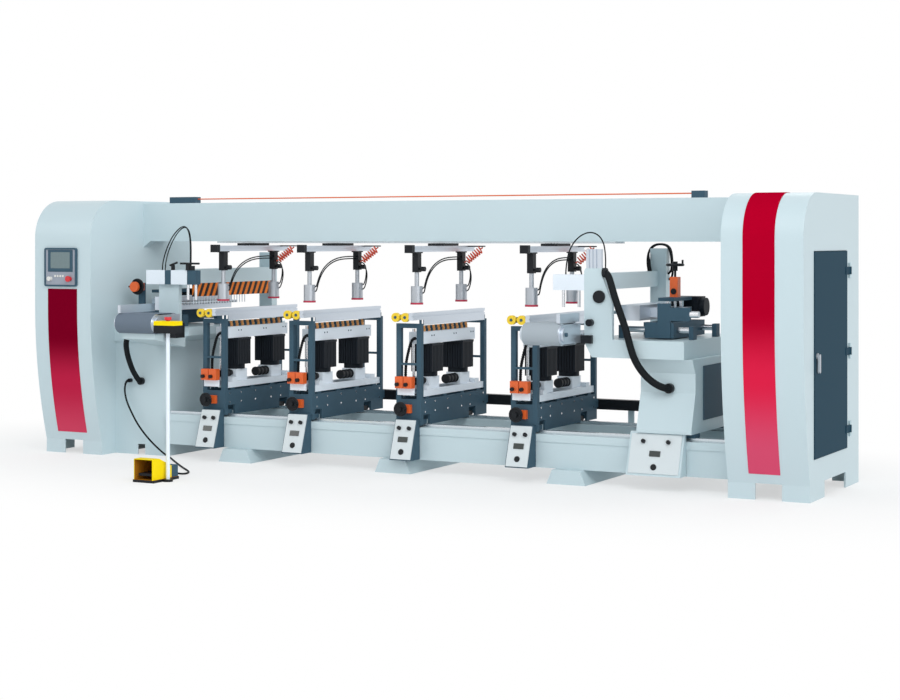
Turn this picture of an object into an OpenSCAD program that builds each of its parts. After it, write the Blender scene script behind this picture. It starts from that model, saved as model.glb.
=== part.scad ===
// Line boring machine for furniture panels: two end cabinets joined by a bed and a top beam,
// four vertical boring units on the bed, a horizontal boring unit at each end, four clamp bars
// under the beam, two feed conveyors and a foot pedal with a stop post.
// X runs along the machine, Y to its rear and Z up. The origin is on the floor, under the
// middle sleeper of the bed.

/* [Machine] */
// Overall length over both end cabinets
machine_l = 5320; // [5200:10:5500]
// Height of the work surface above the floor
work_h = 1005; // [990:1:1020]

/* [Cabinets] */
// Width of a cabinet along the machine
cab_w = 470; // [450:1:500]
// Depth of a cabinet at the floor
cab_d = 1000; // [960:5:1060]
// How far the front bulges past the plinth
cab_bulge = 120; // [100:1:140]
// Radius of the top front corner
cab_corner_r = 250; // [220:1:270]
// Sheet thickness of a cabinet
cab_sheet = 4; // [3:0.5:5]
// Width of the stripe on the right cabinet
stripe_w = 182; // [150:1:210]
// Width of the stripe on the left cabinet
left_stripe_w = 245; // [200:1:270]
// Width of the cabinet door
door_w = 656; // [600:1:680]
// Height of the cabinet door
door_h = 1146; // [1050:1:1180]

/* [Beam and bed] */
// Clear height between the work surface and the top beam
beam_clear = 425; // [410:1:450]
// Height of the top beam
beam_h = 260; // [220:1:280]
// Depth of the top beam
beam_d = 250; // [200:1:280]
// Wall of the top beam
beam_wall = 8; // [5:0.5:12]
// Depth of the bed over both girders
bed_d = 740; // [700:1:780]
// Width of a bed girder
girder_w = 110; // [90:1:120]
// Height of a bed girder
girder_h = 200; // [180:1:210]
// Height of the sleepers under the girders
foot_h = 85; // [70:1:95]

/* [Vertical units] */
// Width of a unit along the machine
unit_w = 175; // [165:1:190]
// Width of a square post
post_w = 32; // [25:1:38]
// Distance between two spindles
spindle_pitch = 32; // [28:1:34]
// Number of spindles in a row
spindle_n = 21; // [17:2:21]
// Width of a gearcase
head_w = 100; // [90:1:110]
// Height of a gearcase
head_h = 74; // [70:1:80]
// Width of a square motor
motor_w = 148; // [140:1:150]

/* [Clamps] */
// Length of a clamp rail
clamp_rail_l = 840; // [800:1:880]
// Height of a clamp rail
clamp_rail_h = 37; // [30:1:42]
// Diameter of a clamp cylinder
cyl_d = 74; // [66:1:78]
// Height of a clamp cylinder
cyl_h = 102; // [90:1:108]
// Diameter of a clamp rod
rod_d = 28; // [22:1:30]
// Clearance between a clamp pad and the work surface
pad_lift = 33; // [30:1:45]

/* [Horizontal units] */
// Width of the left pedestal
ped_w = 430; // [400:1:450]
// Width of the right column
column_w = 335; // [300:1:345]
// Height of the drill axis above the work surface
drill_rise = 9; // [6:1:16]
// Diameter of a feed bar
bar_d = 35; // [30:1:40]
// Width of the right feed conveyor
conv_w = 290; // [250:1:300]
// Width of the left feed conveyor
left_conv_w = 350; // [320:1:370]
// Diameter of a conveyor drum
drum_d = 124; // [110:1:130]
// Diameter of a horizontal unit's handwheel
hz_wheel_d = 110; // [90:1:120]

/* [Pedal] */
// Width of the pedal hood
hood_w = 136; // [120:1:150]
// Height of the pedal hood
hood_h = 140; // [125:1:150]
// Height of the post box above the floor
post_box_z = 885; // [800:1:920]
// Diameter of the pedal cord
cord_d = 12; // [10:0.5:14]

/* [Hidden] */

// Clearances: running fit of a shaft, gap between moving bodies, seam between bolted pieces
run_fit = 0.05;
gap = 0.4;
seam = 0.25;
cut = 5;
round_fn = 48;
small_fn = 32;
flare_fn = 720;

// Colours
pale = [0.80, 0.87, 0.88];
slate = [0.24, 0.31, 0.36];
black = [0.08, 0.08, 0.09];
red = [0.75, 0.05, 0.12];
orange = [0.93, 0.40, 0.12];
yellow = [0.95, 0.80, 0.10];
alu = [0.70, 0.73, 0.77];
chrome = [0.75, 0.77, 0.80];
white = [0.90, 0.92, 0.93];

// Cabinet places
beam_drop = 15;
cab_h = work_h + beam_clear + beam_h + beam_drop;
inner_x = machine_l / 2 - cab_w;
outer_x = machine_l / 2;
cab_front = cab_d / 2 + cab_bulge;
belly_z = 1000;
kick_h = 90;
flare_r = (pow(belly_z - kick_h, 2) + pow(cab_bulge, 2)) / (2 * cab_bulge);
plinth_h = 100;
plinth_t = 10;
pocket_w = 154;
pocket_h = 92;
side_pocket_w = 434;
stripe_t = 2;
stripe_z = 145;
stripe_top_share = 0.18;
panel_drop = 577;
stripe_gap = 16;

// Cabinet door, hinges and handle
door_y = -96;
door_z = 231;
door_gap = 3;
door_t = 20;
door_proud = 6;
door_sheet = 3;
hinge_d = 16;
pin_d = 8;
hinge_h = 90;
hinge_leaf_w = 36;
hinge_leaf_t = 4;
hinge_off = 54;
hinge_lift = 1;
hinge_shares = [0.094, 0.49, 0.9];
latch_in = 36;
latch_share = 0.495;
latch_d = 12;
latch_boss_d = 34;
latch_disc_h = 8;
latch_l = 105;
latch_w = 22;
latch_t = 12;
hinge_x = outer_x + hinge_d / 2 + hinge_lift;
hinge_y = door_y + door_w / 2 + hinge_off;
latch_y = door_y - door_w / 2 + latch_in;
latch_z = door_z + latch_share * door_h;

// Electrical modules on the mounting plate: left, bottom, width and height as shares
mount_plate_w = 640;
mount_plate_h = 980;
mount_plate_t = 3;
mount_plate_z = 300;
module_depth = 95;
module_shares = [[0.05, 0.80, 0.90, 0.14], [0.05, 0.56, 0.90, 0.13], [0.05, 0.30, 0.90, 0.16],
    [0.05, 0.06, 0.90, 0.10]];

// Operator panel
panel_w = 270;
panel_h = 258;
panel_t = 16;
panel_z = cab_h - panel_drop;
left_stripe_z1 = panel_z - stripe_gap;
panel_r = 14;
panel_rim = 11;
panel_recess = 4;
panel_off = 8;
panel_x = -(inner_x + cab_w / 2) - panel_off;
screen_t = 3;
screen_share = [0.60, 0.42];
screen_z_share = 0.68;
key_shares = [0.34, 0.42, 0.50, 0.58];
key_z_share = 0.27;
key_w = 14;
button_d = 30;
button_l = 20;
button_press = 5;
button_z_share = 0.20;
start_share = 0.19;
stop_share = 0.80;
stop_cap_d = 40;
stop_cap_t = 9;

// Beam, bed and rails
beam_z1 = cab_h - beam_drop;
beam_z = beam_z1 - beam_h;
beam_y = -45;
gusset_l = 58;
gusset_h = 42;
gusset_t = 60;
line_block_l = [217, 82];
line_block_x_shares = [-0.93, 0.81];
line_block_h = 44;
line_block_d = 62;
line_d = 8;
rail_w = 40;
rail_h = 18;
rail_y = bed_d / 2 - girder_w / 2;
beam_rail_w = 24;
beam_rail_h = 12;
beam_rail_in = 50;
flange_h = 45;
flange_proud = 6;
sleeper_w = 250;
sleeper_top_w = 180;
sleeper_out = 60;
sleeper_shares = [-0.534, 0, 0.534];
tray_w = 55;
tray_h = 65;
tray_z = 355;
tray_y = 548;
tray_bracket_w = 40;
tray_bracket_t = 12;
tray_end_share = 0.72;
bed_top = foot_h + girder_h;
rail_top = bed_top + rail_h;
bed_x0 = -inner_x + ped_w;

// Vertical unit places
left_face_in = 590;
right_face_in = 890;
left_face = left_face_in - inner_x;
right_face = inner_x - right_face_in;
conv_reach = conv_w + 8 * seam;
unit_shares = [0.090, 0.346, 0.647, 0.949];
function unit_x(i) = left_face + unit_shares[i] * (right_face - conv_reach - left_face);
unit_y0 = -380;
unit_y1 = 525;
plate_t = 15;
plate_lift = 12;
plate_h = 160;
notch_w = 96;
notch_h = 62;
shoe_h = 26;
shoe_w = 76;
spacer_h = 14;
spacer_w = 46;
spacer_shares = [0.08, 0.36, 0.64, 0.92];
pale_bar_h = 40;
pale_bar_w = 26;
pale_bar_in = 8;
post_drop = 110;
tie_h = 28;
mid_tie_h = 14;
mid_tie_share = 0.477;
front_plate_t = 10;
plate_z = bed_top + plate_lift;
plate_top = plate_z + plate_h;
bar_z = plate_top + spacer_h;
bar_top = bar_z + pale_bar_h;
post_top = work_h - post_drop;

// Boring head
head_drop = 138;
head_y = 72;
head_margin = 20;
head_l = spindle_n * spindle_pitch + 2 * head_margin;
head_top = work_h - head_drop;
head_z = head_top - head_h;
chuck_d = 25;
chuck_nose_d = 19;
chuck_base_h = 18;
chuck_h = 36;
chuck_hole_d = 10;
chuck_hole_h = 20;
guide_d = 20;
guide_x = -33;
guide_end = 30;
guide_over = 18;
guide_block_w = 56;
guide_block_h = 26;
lift_block_w = 104;
lift_block_l = 128;
motor_off = 210;
motor_flange_w = 154;
motor_flange_t = 15;
motor_share = 0.72;
motor_l = motor_share * (head_z - motor_flange_t - bar_top);
fin_n = 7;
fin_w = 6;
fin_d = 5;
motor_cap_h = 30;
motor_cap_d = 130;
motor_z = head_z - motor_flange_t - motor_l;
lift_top = motor_z - gap;

// Table bar and wheels of a unit
table_w = 28;
table_h = 45;
table_drop = 12;
table_x = 61;
table_over = 110;
table_l = 985;
slot_w = 9;
slot_d = 7;
table_stud_d = 16;
wheel_d = 56;
wheel_t = 24;
wheel_axle_d = 18;
wheel_axle_out = 3;
wheel_step = 66;
wheel_arm_w = 20;
wheel_arm_h = 34;

// Control box of a unit: front slope and panel parts
box_w = 152;
box_lift = 4;
box_bottom = foot_h + box_lift;
box_top = 335;
box_front = 112;
box_slope = 80;
box_panel_t = 6;
box_knob_d = 24;
box_knob_h = 16;
box_knob_shares = [[0.27, 0.77], [0.73, 0.77]];
box_screen_share = [0.44, 0.13];
box_screen_place_share = [0.5, 0.50];
box_dial_d = 36;
box_dial_place_share = [0.5, 0.20];
box_edge_share = 0.04;

// Counters and handwheel of a unit
counter_w = 56;
counter_h = 72;
counter_t = 44;
counter_z = 525;
counter_xs_share = [-0.42, -0.07];
counter_knob_d = 24;
counter_knob_h = 18;
counter_knob_share = 0.34;
counter_plate_h = 44;
wheel_z = 398;
hw_x_share = -0.16;
hw_d = 92;
hw_rim = 14;
hw_hub_d = 30;
hw_hub_h = 40;
hw_shaft_d = 14;
hw_spoke_w = 14;
hw_grip_d = 12;
hw_grip_l = 30;
hw_stand = 30;
dial_w = 52;
dial_t = 26;

// Clamps
clamp_rail_w = 40;
clamp_rail_drop = 28;
clamp_y0 = -350;
clamp_end_l = 34;
clamp_end_h = 50;
clamp_end_w = 54;
carriage_l = 250;
carriage_w = 90;
bracket_w = 40;
bracket_l = 46;
bracket_h = 126;
bracket_flange_l = 84;
bracket_flange_t = 8;
foot_shares = [0.09, 0.81];
knob_d = 30;
knob_h = 26;
knob_neck_d = 12;
knob_z_share = 0.16;
pad_d = 80;
pad_h = 12;
port_d = 12;
port_h = 12;
port_step = 30;
lever_l = 92;
lever_d = 10;
lever_knob_d = 18;
clamp_rail_z = beam_z - clamp_rail_drop - clamp_rail_h;
bracket_z = clamp_rail_z - bracket_h;
foot_z = work_h + pad_lift;
cyl_z = foot_z + pad_h;

// Spiral air hose: tube, curls and ends
spiral_tube_d = 9;
spiral_r = 22;
spiral_n = 7;
spiral_pitch = 17;
spiral_turn = 215;
spiral_tilt = 39;
spiral_steps = 8;
spiral_sides = 6;
arm_w = 30;
arm_t = 8;
arm_over = 12;
thin_hose_d = 8;
hose_sides = 8;
thin_hose_end_x = 8;
thin_hose_up_share = 0.72;
back_hose_up_share = 0.40;
back_hose_spread = 0.35;
thin_hose_shares = [[0.02, 0.02, 0.10], [0.06, 0.06, 0.30], [0.14, 0.14, 0.55], [0.26, 0.26, 0.75],
    [0.42, 0.42, 0.90], [0.60, 0.60, 0.98], [0.80, 0.80, 1]];
back_hose_shares = [[-0.12, 0.21, 0.17], [-0.12, 0.58, 0.43], [0.07, 0.96, 0.69], [0.44, 1.27, 0.88],
    [0.79, 1.27, 0.98]];

// Horizontal unit: distances behind its face and heights from the drill axis
drill_z = work_h + drill_rise;
hz_table_drop = 154;
hz_table_z = drill_z - hz_table_drop;
hz_rail_drop = 100;
hz_bar_z = drill_z - hz_rail_drop;
hz_bar_y = 200;
hz_bar_x0 = 150;
hz_bar_x1 = 560;
hz_end_t = 28;
hz_end_w = 60;
hz_end_over = 24;
hz_y1 = 545;
left_y1 = 803;
left_tower_h = 490;
hz_head_y = 40;
cross_x = 10;
cross_w = 90;
cross_rise = 136;
cross_h = 95;
cross_y0 = -345;
tower_x = 45;
tower_w = 105;
tower_d = 68;
slide_x = 300;
slide_l = 180;
slide_w = 530;
slide_below = 46;
slide_above = 44;
col_x = 390;
col_y = 110;
col_d = 30;
screw_d = 16;
yoke_rise = 66;
yoke_t = 20;
yoke_l = 100;
yoke_w = 300;
case_x = 160;
case_l = 130;
case_h = 90;
block_l = 150;
block_w = 300;
block_below = 29;
block_above = 26;
hz_chuck_l = 68;
hz_motor_y = 232;
hz_motor_rise = 24;
hz_motor_w = 122;
hz_motor_l = 215;
hz_counter_w = 50;
hz_counter_h = 60;
hz_wheel_stand = 72;
hz_wheel_rim = 16;
wheel_dial_d = 68;
wheel_dial_h = 20;

// Left pedestal, table, bridge and guard
ped_d = 700;
ped_wall = 8;
ped_top_drop = 105;
table_front = 365;
table_over_x = 24;
table_skin = 14;
ped_pocket_w = 60;
ped_pocket_h = 70;
front_post_x = [60, 220];
front_post_t = 35;
bridge_x = [-103, 299];
bridge_t = 55;
bridge_h = 94;
bridge_rise = 131;
bridge_shares = [0, 0.176, 0.5, 0.622, 1];
hold_rod_d = 18;
hold_rod_l = 100;
guard_t = 6;
guard_h = 88;
guard_y0 = -275;
finger_d = 6;
finger_low = 5;

// Conveyors
conv_front = 700;
conv_rear = 520;
belt_t = 3;
conv_plate_t = 8;
conv_plate_in = 5;
conv_boss_d = 84;
conv_boss_h = 14;
conv_axle_d = 24;
conv_axle_h = 9;
conv_drop = 42;
fence_t = 22;
fence_rise = 11;
fence_front = 30;
fence_l = 370;
gear_l = 92;
gear_w = 86;
gear_h = 96;
conv_bracket_h = 100;
conv_bracket_nose = 36;
conv_bracket_share = 0.13;
conv_x0 = 310;

// Right column, table and front plate
col_front = 350;
col_flare = 70;
col_flare_z = 345;
col_flare_drop = 195;
col_x0 = 310;
col_skirt = 82;
right_table_front = 400;
right_table_in = 42;
table_chamfer = [48, 90];
right_box_w = 333;
right_box_x = 266;
right_box_front = 100;
cover_t = 4;
cover_share = [[0.18, 0.16], [0.92, 0.90]];
rplate_t = 50;
rplate_x = -15;
rplate_w = 178;
rplate_h = 415;
rplate_z = hz_table_z + seam;
rplate_shares = [[0, 0], [1, 0], [1, 0.5], [0.64, 0.88], [0.64, 1], [0.05, 1], [0, 0.96]];
rtop_w = 96;
rtop_x = -2;
rtop_h = 112;
rtop_groove_shares = [0.18, 0.42, 0.66];
cap_d = 74;
cap_h = 12;
cap_share = [0.54, 0.6];
rknob_d = 42;
rknob_h = 34;
rknob_share = [0.24, 0.235];
rclamp_l = 200;
rclamp_h = 92;
rclamp_t = 80;
rclamp_rise = 131;
right_tower_h = 527;
slide_plate_x = 82;
slide_plate_w = 80;
slide_plate_t = 15;
slide_plate_rise = 57;
slide_arm_l = 122;
slide_arm_rise = [-44, 34];
slide_rod_d = 38;
slide_rod_l = 52;

// Pedal and post
pedal_x = -1090;
pedal_y = -1410;
hood_l = 190;
hood_wall = 4;
hood_nose_share = 0.35;
pedal_base_h = 16;
pedal_base_over = 8;
pedal_rear_l = 64;
pedal_rear_h = 86;
treadle_w = 96;
treadle_l = 150;
treadle_t = 14;
treadle_z = 46;
treadle_pin_d = 10;
treadle_bush_d = 20;
treadle_y = hood_l / 2 - treadle_bush_d;
post_d = 24;
post_x = 96;
post_y = 20;
post_foot_d = 60;
post_foot_h = 14;
post_box_w = 150;
post_box_d = 84;
post_box_h = 46;
post_cap_h = 26;
mush_d = 44;
mush_h = 18;
mush_stem_d = 24;
mush_press = 6;

// Cord route from the pedestal gland to the pedal, round points chosen by hand
gland_d = 26;
gland_l = 24;
gland_in = 462;
gland_z = 495;
gland_x = left_face - gland_in;
cord_rear_z = 36;
cord_points = concat([[gland_x, -ped_d / 2 - gland_l - 2 * seam, gland_z]], [
    [-2062, -384, 495], [-2066, -394, 488], [-2074, -399, 468], [-2080, -400, 430], [-2064, -400, 360],
    [-2028, -400, 296], [-1978, -400, 216], [-1922, -400, 154], [-1852, -400, 90], [-1784, -402, 44],
    [-1745, -406, 20], [-1700, -420, 8], [-1640, -478, 7], [-1570, -552, 7], [-1498, -627, 7],
    [-1410, -716, 7], [-1322, -805, 7], [-1250, -874, 7], [-1180, -940, 7], [-1120, -1000, 7],
    [-1085, -1060, 7], [-1080, -1120, 9], [-1086, -1180, 20], [-1090, -1218, 33], [-1090, -1236, 36]],
    [[pedal_x, pedal_y + hood_l / 2 + pedal_rear_l + gap, cord_rear_z]]);

// Hose routes: shares of the way from start to end, chosen by hand
hose_lead = 14;
function between(a, b, s) = [for (k = [0:2]) a[k] + s[k] * (b[k] - a[k])];
left_hose_d = 36;
left_hose_front = 600;
left_hose_below = 27;
left_hose_in = 372;
left_hose_end_z = 493;
left_hose_start = [left_face - conv_x0 + conv_bracket_share * left_conv_w - gap, -left_hose_front,
    work_h - conv_drop - drum_d - 2 * belt_t - left_hose_below];
left_hose_end = [left_face - left_hose_in, -ped_d / 2 - gap, left_hose_end_z];
left_hose_shares = [
    [0.272, 0, 0.016], [0.374, 0.004, 0.058], [0.44, 0.008, 0.115], [0.477, 0.02, 0.195],
    [0.514, 0.068, 0.291], [0.561, 0.128, 0.396], [0.608, 0.22, 0.514], [0.683, 0.341, 0.636],
    [0.795, 0.489, 0.751], [0.907, 0.661, 0.856], [0.972, 0.809, 0.952], [1, 0.897, 0.994]];
left_hose_points = concat([left_hose_start, left_hose_start - [hose_lead, 0, 0]],
    [for (s = left_hose_shares) between(left_hose_start, left_hose_end, s)],
    [left_hose_end - [0, hose_lead, 0], left_hose_end]);
loop_h = 297;
left_loop_w = 226;
left_loop_in = 187;
left_loop_front = 372;
left_loop_start = [left_face - left_loop_in, -left_loop_front, drill_z + bridge_rise + bridge_h + gap];
left_loop_shares = [
    [0, 0.096], [0.035, 0.238], [0.15, 0.473], [0.327, 0.726], [0.566, 0.918], [0.788, 0.999],
    [0.929, 0.911], [0.991, 0.709], [1.009, 0.44], [1, 0.204]];
left_loop_points = concat([left_loop_start],
    [for (s = left_loop_shares) left_loop_start + [s[0] * left_loop_w, 0, s[1] * loop_h]],
    [left_loop_start + [left_loop_w, 0, 0]]);
right_hose_d = 42;
right_hose_front = 412;
right_hose_drop = 25;
right_hose_in = 490;
right_hose_below = 169;
right_hose_start = [right_face + max(rplate_x + rplate_shares[3][0] * rplate_w, cross_x + cross_w) + gap,
    -right_hose_front, rplate_z + rplate_h - right_hose_drop];
right_hose_end = [right_face + right_hose_in, -col_front - gap,
    hz_table_z - ped_top_drop - right_hose_below];
right_hose_shares = [
    [0.089, -0.13, 0.021], [0.13, -0.292, 0.066], [0.181, -0.487, 0.143], [0.253, -0.682, 0.248],
    [0.334, -0.828, 0.361], [0.416, -0.877, 0.482], [0.473, -0.877, 0.602], [0.524, -0.812, 0.715],
    [0.596, -0.552, 0.813], [0.708, -0.26, 0.904], [0.836, -0.097, 0.961], [0.923, 0.065, 0.985],
    [0.974, 0.292, 0.997], [0.997, 0.584, 1]];
right_hose_points = concat([right_hose_start, right_hose_start + [hose_lead, 0, 0]],
    [for (s = right_hose_shares) between(right_hose_start, right_hose_end, s)],
    [right_hose_end - [0, hose_lead, 0], right_hose_end]);
right_loop_out = 150;
right_loop_front = 385;
right_loop_start = [right_face - right_loop_out, -right_loop_front, drill_z + rclamp_rise + rclamp_h + gap];
right_loop_end = right_hose_start + [hose_lead, 0, right_hose_d / 2 + thin_hose_d / 4];
right_loop_shares = [
    [0, 0, 0.083], [0.023, 0.037, 0.244], [0.076, 0.185, 0.446], [0.213, 0.407, 0.648],
    [0.41, 0.63, 0.79], [0.638, 0.852, 0.851], [0.843, 1, 0.79], [0.972, 1.037, 0.628],
    [1.003, 1.037, 0.413], [1.01, 1, 0.244]];
right_loop_points = concat([right_loop_start],
    [for (s = right_loop_shares) [for (k = [0:2])
        right_loop_start[k] + s[k] * (k == 2 ? loop_h : right_loop_end[k] - right_loop_start[k])]],
    [right_loop_end + [0, 0, hose_lead], right_loop_end]);

// Basic shapes
module block(lo, hi) { translate(lo) cube(hi - lo); }
module rod_x(p, d, l) { translate(p) rotate([0, 90, 0]) cylinder(d = d, h = l, $fn = small_fn); }
module rod_y(p, d, l) { translate(p) rotate([-90, 0, 0]) cylinder(d = d, h = l, $fn = small_fn); }
module rod_z(p, d, l) { translate(p) cylinder(d = d, h = l, $fn = small_fn); }
module along_x(l) { rotate([90, 0, 90]) linear_extrude(l) children(); }
module facing_front(t) { rotate([90, 0, 0]) linear_extrude(t) children(); }

module rounded(w, h, r) {
    square([w, h - 2 * r], center = true);
    square([w - 2 * r, h], center = true);
    for (x = [-1, 1], y = [-1, 1]) translate([x * (w / 2 - r), y * (h / 2 - r)]) circle(r, $fn = small_fn);
}

// Tube swept along points, with rings square to the mean direction at each point
function unit(v) = v / norm(v);
function heading(p, i) = unit(p[min(i + 1, len(p) - 1)] - p[max(i - 1, 0)]);
function side_of(t) = unit(cross(t, abs(t[2]) > 0.9 ? [1, 0, 0] : [0, 0, 1]));
function ring(p, i, r, n, s) = let (u = unit(s - (s * heading(p, i)) * heading(p, i)),
    v = cross(heading(p, i),
        u)) [for (k = [0:n - 1]) p[i] + r * (cos(360 * k / n) * u + sin(360 * k / n) * v)];
function rings(p, r, n, i, s, out) = i == len(p) ? out :
    let (q = ring(p, i, r, n, s)) rings(p, r, n, i + 1, q[0] - p[i], concat(out, q));
module tube(p, d, n) {
    m = len(p);
    pts = rings(p, d / 2, n, 0, side_of(heading(p, 0)), []);
    skin = [for (i = [0:m - 2], k = [0:n - 1], t = [0, 1])
        let (a = i * n + k, b = i * n + (k + 1) % n) t == 0 ? [a, b + n, b] : [a, a + n, b + n]];
    polyhedron(points = pts, faces = concat([[for (k = [0:n - 1]) k]], skin,
        [[for (k = [n - 1:-1:0]) (m - 1) * n + k]]));
}

// Handwheel: rim, hub, spokes, shaft and grip, with its axis along Z and its face upwards
module wheel(d, rim, t, hub_h, shaft_l) {
    rotate_extrude($fn = round_fn) translate([d / 2 - rim / 2, 0]) circle(d = rim, $fn = small_fn);
    rod_z([0, 0, -hub_h / 2], hw_hub_d, hub_h);
    for (a = [0, 120, 240]) rotate(a)
        block([0, -hw_spoke_w / 2, -t / 4], [d / 2 - rim / 2, hw_spoke_w / 2, t / 4]);
    rod_z([d / 2 - rim / 2, 0, 0], hw_grip_d, hw_grip_l);
    rod_z([0, 0, -hub_h / 2 - shaft_l], hw_shaft_d, shaft_l + hub_h / 2);
}

// Finned square motor along Z from 0, with a round end cap at the bottom
module motor(w, l) {
    linear_extrude(l - motor_cap_h) difference() {
        square(w, center = true);
        for (a = [0:90:270], k = [0:fin_n - 1])
            rotate(a) translate([w * ((k + 1) / (fin_n + 1) - 1 / 2) - fin_w / 2, w / 2 - fin_d])
                square([fin_w, 2 * fin_d]);
    }
    rod_z([0, 0, -motor_cap_h], motor_cap_d * w / motor_w, motor_cap_h);
}

// Chuck along Z from 0: flange, nose and drill hole
module chuck(l) {
    difference() {
        union() {
            cylinder(d = chuck_d, h = chuck_base_h, $fn = small_fn);
            cylinder(d = chuck_nose_d, h = l, $fn = small_fn);
        }
        rod_z([0, 0, l - chuck_hole_h], chuck_hole_d, chuck_hole_h + cut);
    }
}

// Cabinets
module cab_profile(i) {
    front = cab_front - i;
    depth = cab_d + cab_bulge - 2 * i;
    r = cab_corner_r - i;
    difference() {
        intersection() {
            translate([-front, i]) square([depth, cab_h - 2 * i]);
            union() {
                translate([flare_r - cab_front, belly_z]) circle(flare_r - i, $fn = flare_fn);
                translate([-front, belly_z]) square([depth, cab_h]);
                translate([i - cab_d / 2, 0]) square([cab_d - 2 * i, kick_h]);
            }
        }
        translate([-front, cab_h - i - r]) difference() {
            translate([-cut, 0]) square([r + cut, r + cut]);
            translate([r, 0]) circle(r, $fn = flare_fn);
        }
    }
}

module cabinet_shell() {
    difference() {
        translate([inner_x, 0, 0]) along_x(cab_w) cab_profile(0);
        translate([inner_x + cab_sheet, 0, 0]) along_x(cab_w - 2 * cab_sheet) intersection() {
            cab_profile(cab_sheet);
            translate([-cab_front, plinth_h + cab_sheet]) square([cab_d + 2 * cab_bulge, cab_h]);
        }
        block([inner_x + plinth_t, plinth_t - cab_d / 2, -cut],
            [outer_x - plinth_t, cab_d / 2 - plinth_t, plinth_h]);
        block([inner_x + (cab_w - pocket_w) / 2, -cab_d, -cut],
            [outer_x - (cab_w - pocket_w) / 2, cab_d, pocket_h]);
        block([inner_x - cut, -side_pocket_w / 2, -cut], [outer_x + cut, side_pocket_w / 2, pocket_h]);
    }
}

module left_cabinet() { color(pale) mirror([1, 0, 0]) cabinet_shell(); }

module hinge_leaf(z) {
    difference() {
        union() {
            block([outer_x, hinge_y, z - hinge_h / 2],
                [outer_x + hinge_leaf_t, hinge_y + hinge_leaf_w, z + hinge_h / 2]);
            rod_z([hinge_x, hinge_y, z - hinge_h / 2], hinge_d, hinge_h);
        }
        rod_z([hinge_x, hinge_y, z - hinge_h / 4], hinge_d + 2 * hinge_leaf_t, hinge_h / 2);
    }
    rod_z([hinge_x, hinge_y, z - hinge_h / 2], pin_d, hinge_h);
}

module right_cabinet() {
    color(pale) {
        difference() {
            cabinet_shell();
            block([outer_x - cab_sheet - cut, door_y - door_w / 2 - door_gap, door_z - door_gap],
                [outer_x + cut, door_y + door_w / 2 + door_gap, door_z + door_h + door_gap]);
        }
        for (s = hinge_shares) hinge_leaf(door_z + s * door_h);
    }
    color(alu) translate([inner_x + cab_sheet + seam, -mount_plate_w / 2, mount_plate_z])
        cube([mount_plate_t, mount_plate_w, mount_plate_h]);
    color(black) for (m = module_shares)
        translate([inner_x + cab_sheet + mount_plate_t + 2 * seam,
            (m[0] - 1 / 2) * mount_plate_w, mount_plate_z + m[1] * mount_plate_h])
            cube([module_depth, m[2] * mount_plate_w, m[3] * mount_plate_h]);
}

module stripe(x, w, z0, z1, y1) {
    color(red) intersection() {
        translate([x - w / 2, 0, 0]) along_x(w) difference() {
            cab_profile(-seam - stripe_t);
            cab_profile(-seam);
        }
        block([x - w, -cab_d, z0], [x + w, y1, z1]);
    }
}

module stripe_panels() {
    mid = (inner_x + outer_x) / 2;
    stripe(mid - stripe_w / 10, stripe_w, stripe_z, cab_h + 2 * stripe_t,
        cab_corner_r - cab_front + stripe_top_share * stripe_w);
    stripe(-mid, left_stripe_w, stripe_z, left_stripe_z1, 0);
}

module operator_panel() {
    translate([panel_x, -cab_front - seam, panel_z + panel_h / 2]) {
        color(slate) difference() {
            facing_front(panel_t) rounded(panel_w, panel_h, panel_r);
            translate([0, panel_recess - panel_t, 0]) facing_front(panel_t)
                rounded(panel_w - 2 * panel_rim, panel_h - 2 * panel_rim, panel_r / 2);
            for (s = [start_share, stop_share])
                translate([(s - 1 / 2) * panel_w, -cut, (button_z_share - 1 / 2) * panel_h])
                    facing_front(panel_t) circle(d = button_d + 2 * gap, $fn = small_fn);
        }
        translate([0, panel_recess - panel_t - seam, (screen_z_share - 1 / 2) * panel_h])
            color(black) facing_front(screen_t)
                rounded(screen_share[0] * panel_w, screen_share[1] * panel_h, panel_r / 2);
        for (s = key_shares)
            translate([(s - 1 / 2) * panel_w, panel_recess - panel_t - seam,
                (key_z_share - 1 / 2) * panel_h])
                color(white) facing_front(screen_t) rounded(key_w, key_w, key_w / 4);
    }
}

module panel_button(share, cap_d, cap_t) {
    translate([panel_x + (share - 1 / 2) * panel_w, -cab_front - seam - cut - gap - button_press,
        panel_z + button_z_share * panel_h]) {
        facing_front(button_l) circle(d = button_d, $fn = small_fn);
        translate([0, -button_l, 0]) facing_front(cap_t) circle(d = cap_d, $fn = small_fn);
    }
}
module start_button() { color(white) panel_button(start_share, button_d, stop_cap_t / 2); }
module stop_button() { color(red) panel_button(stop_share, stop_cap_d, stop_cap_t); }

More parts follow.
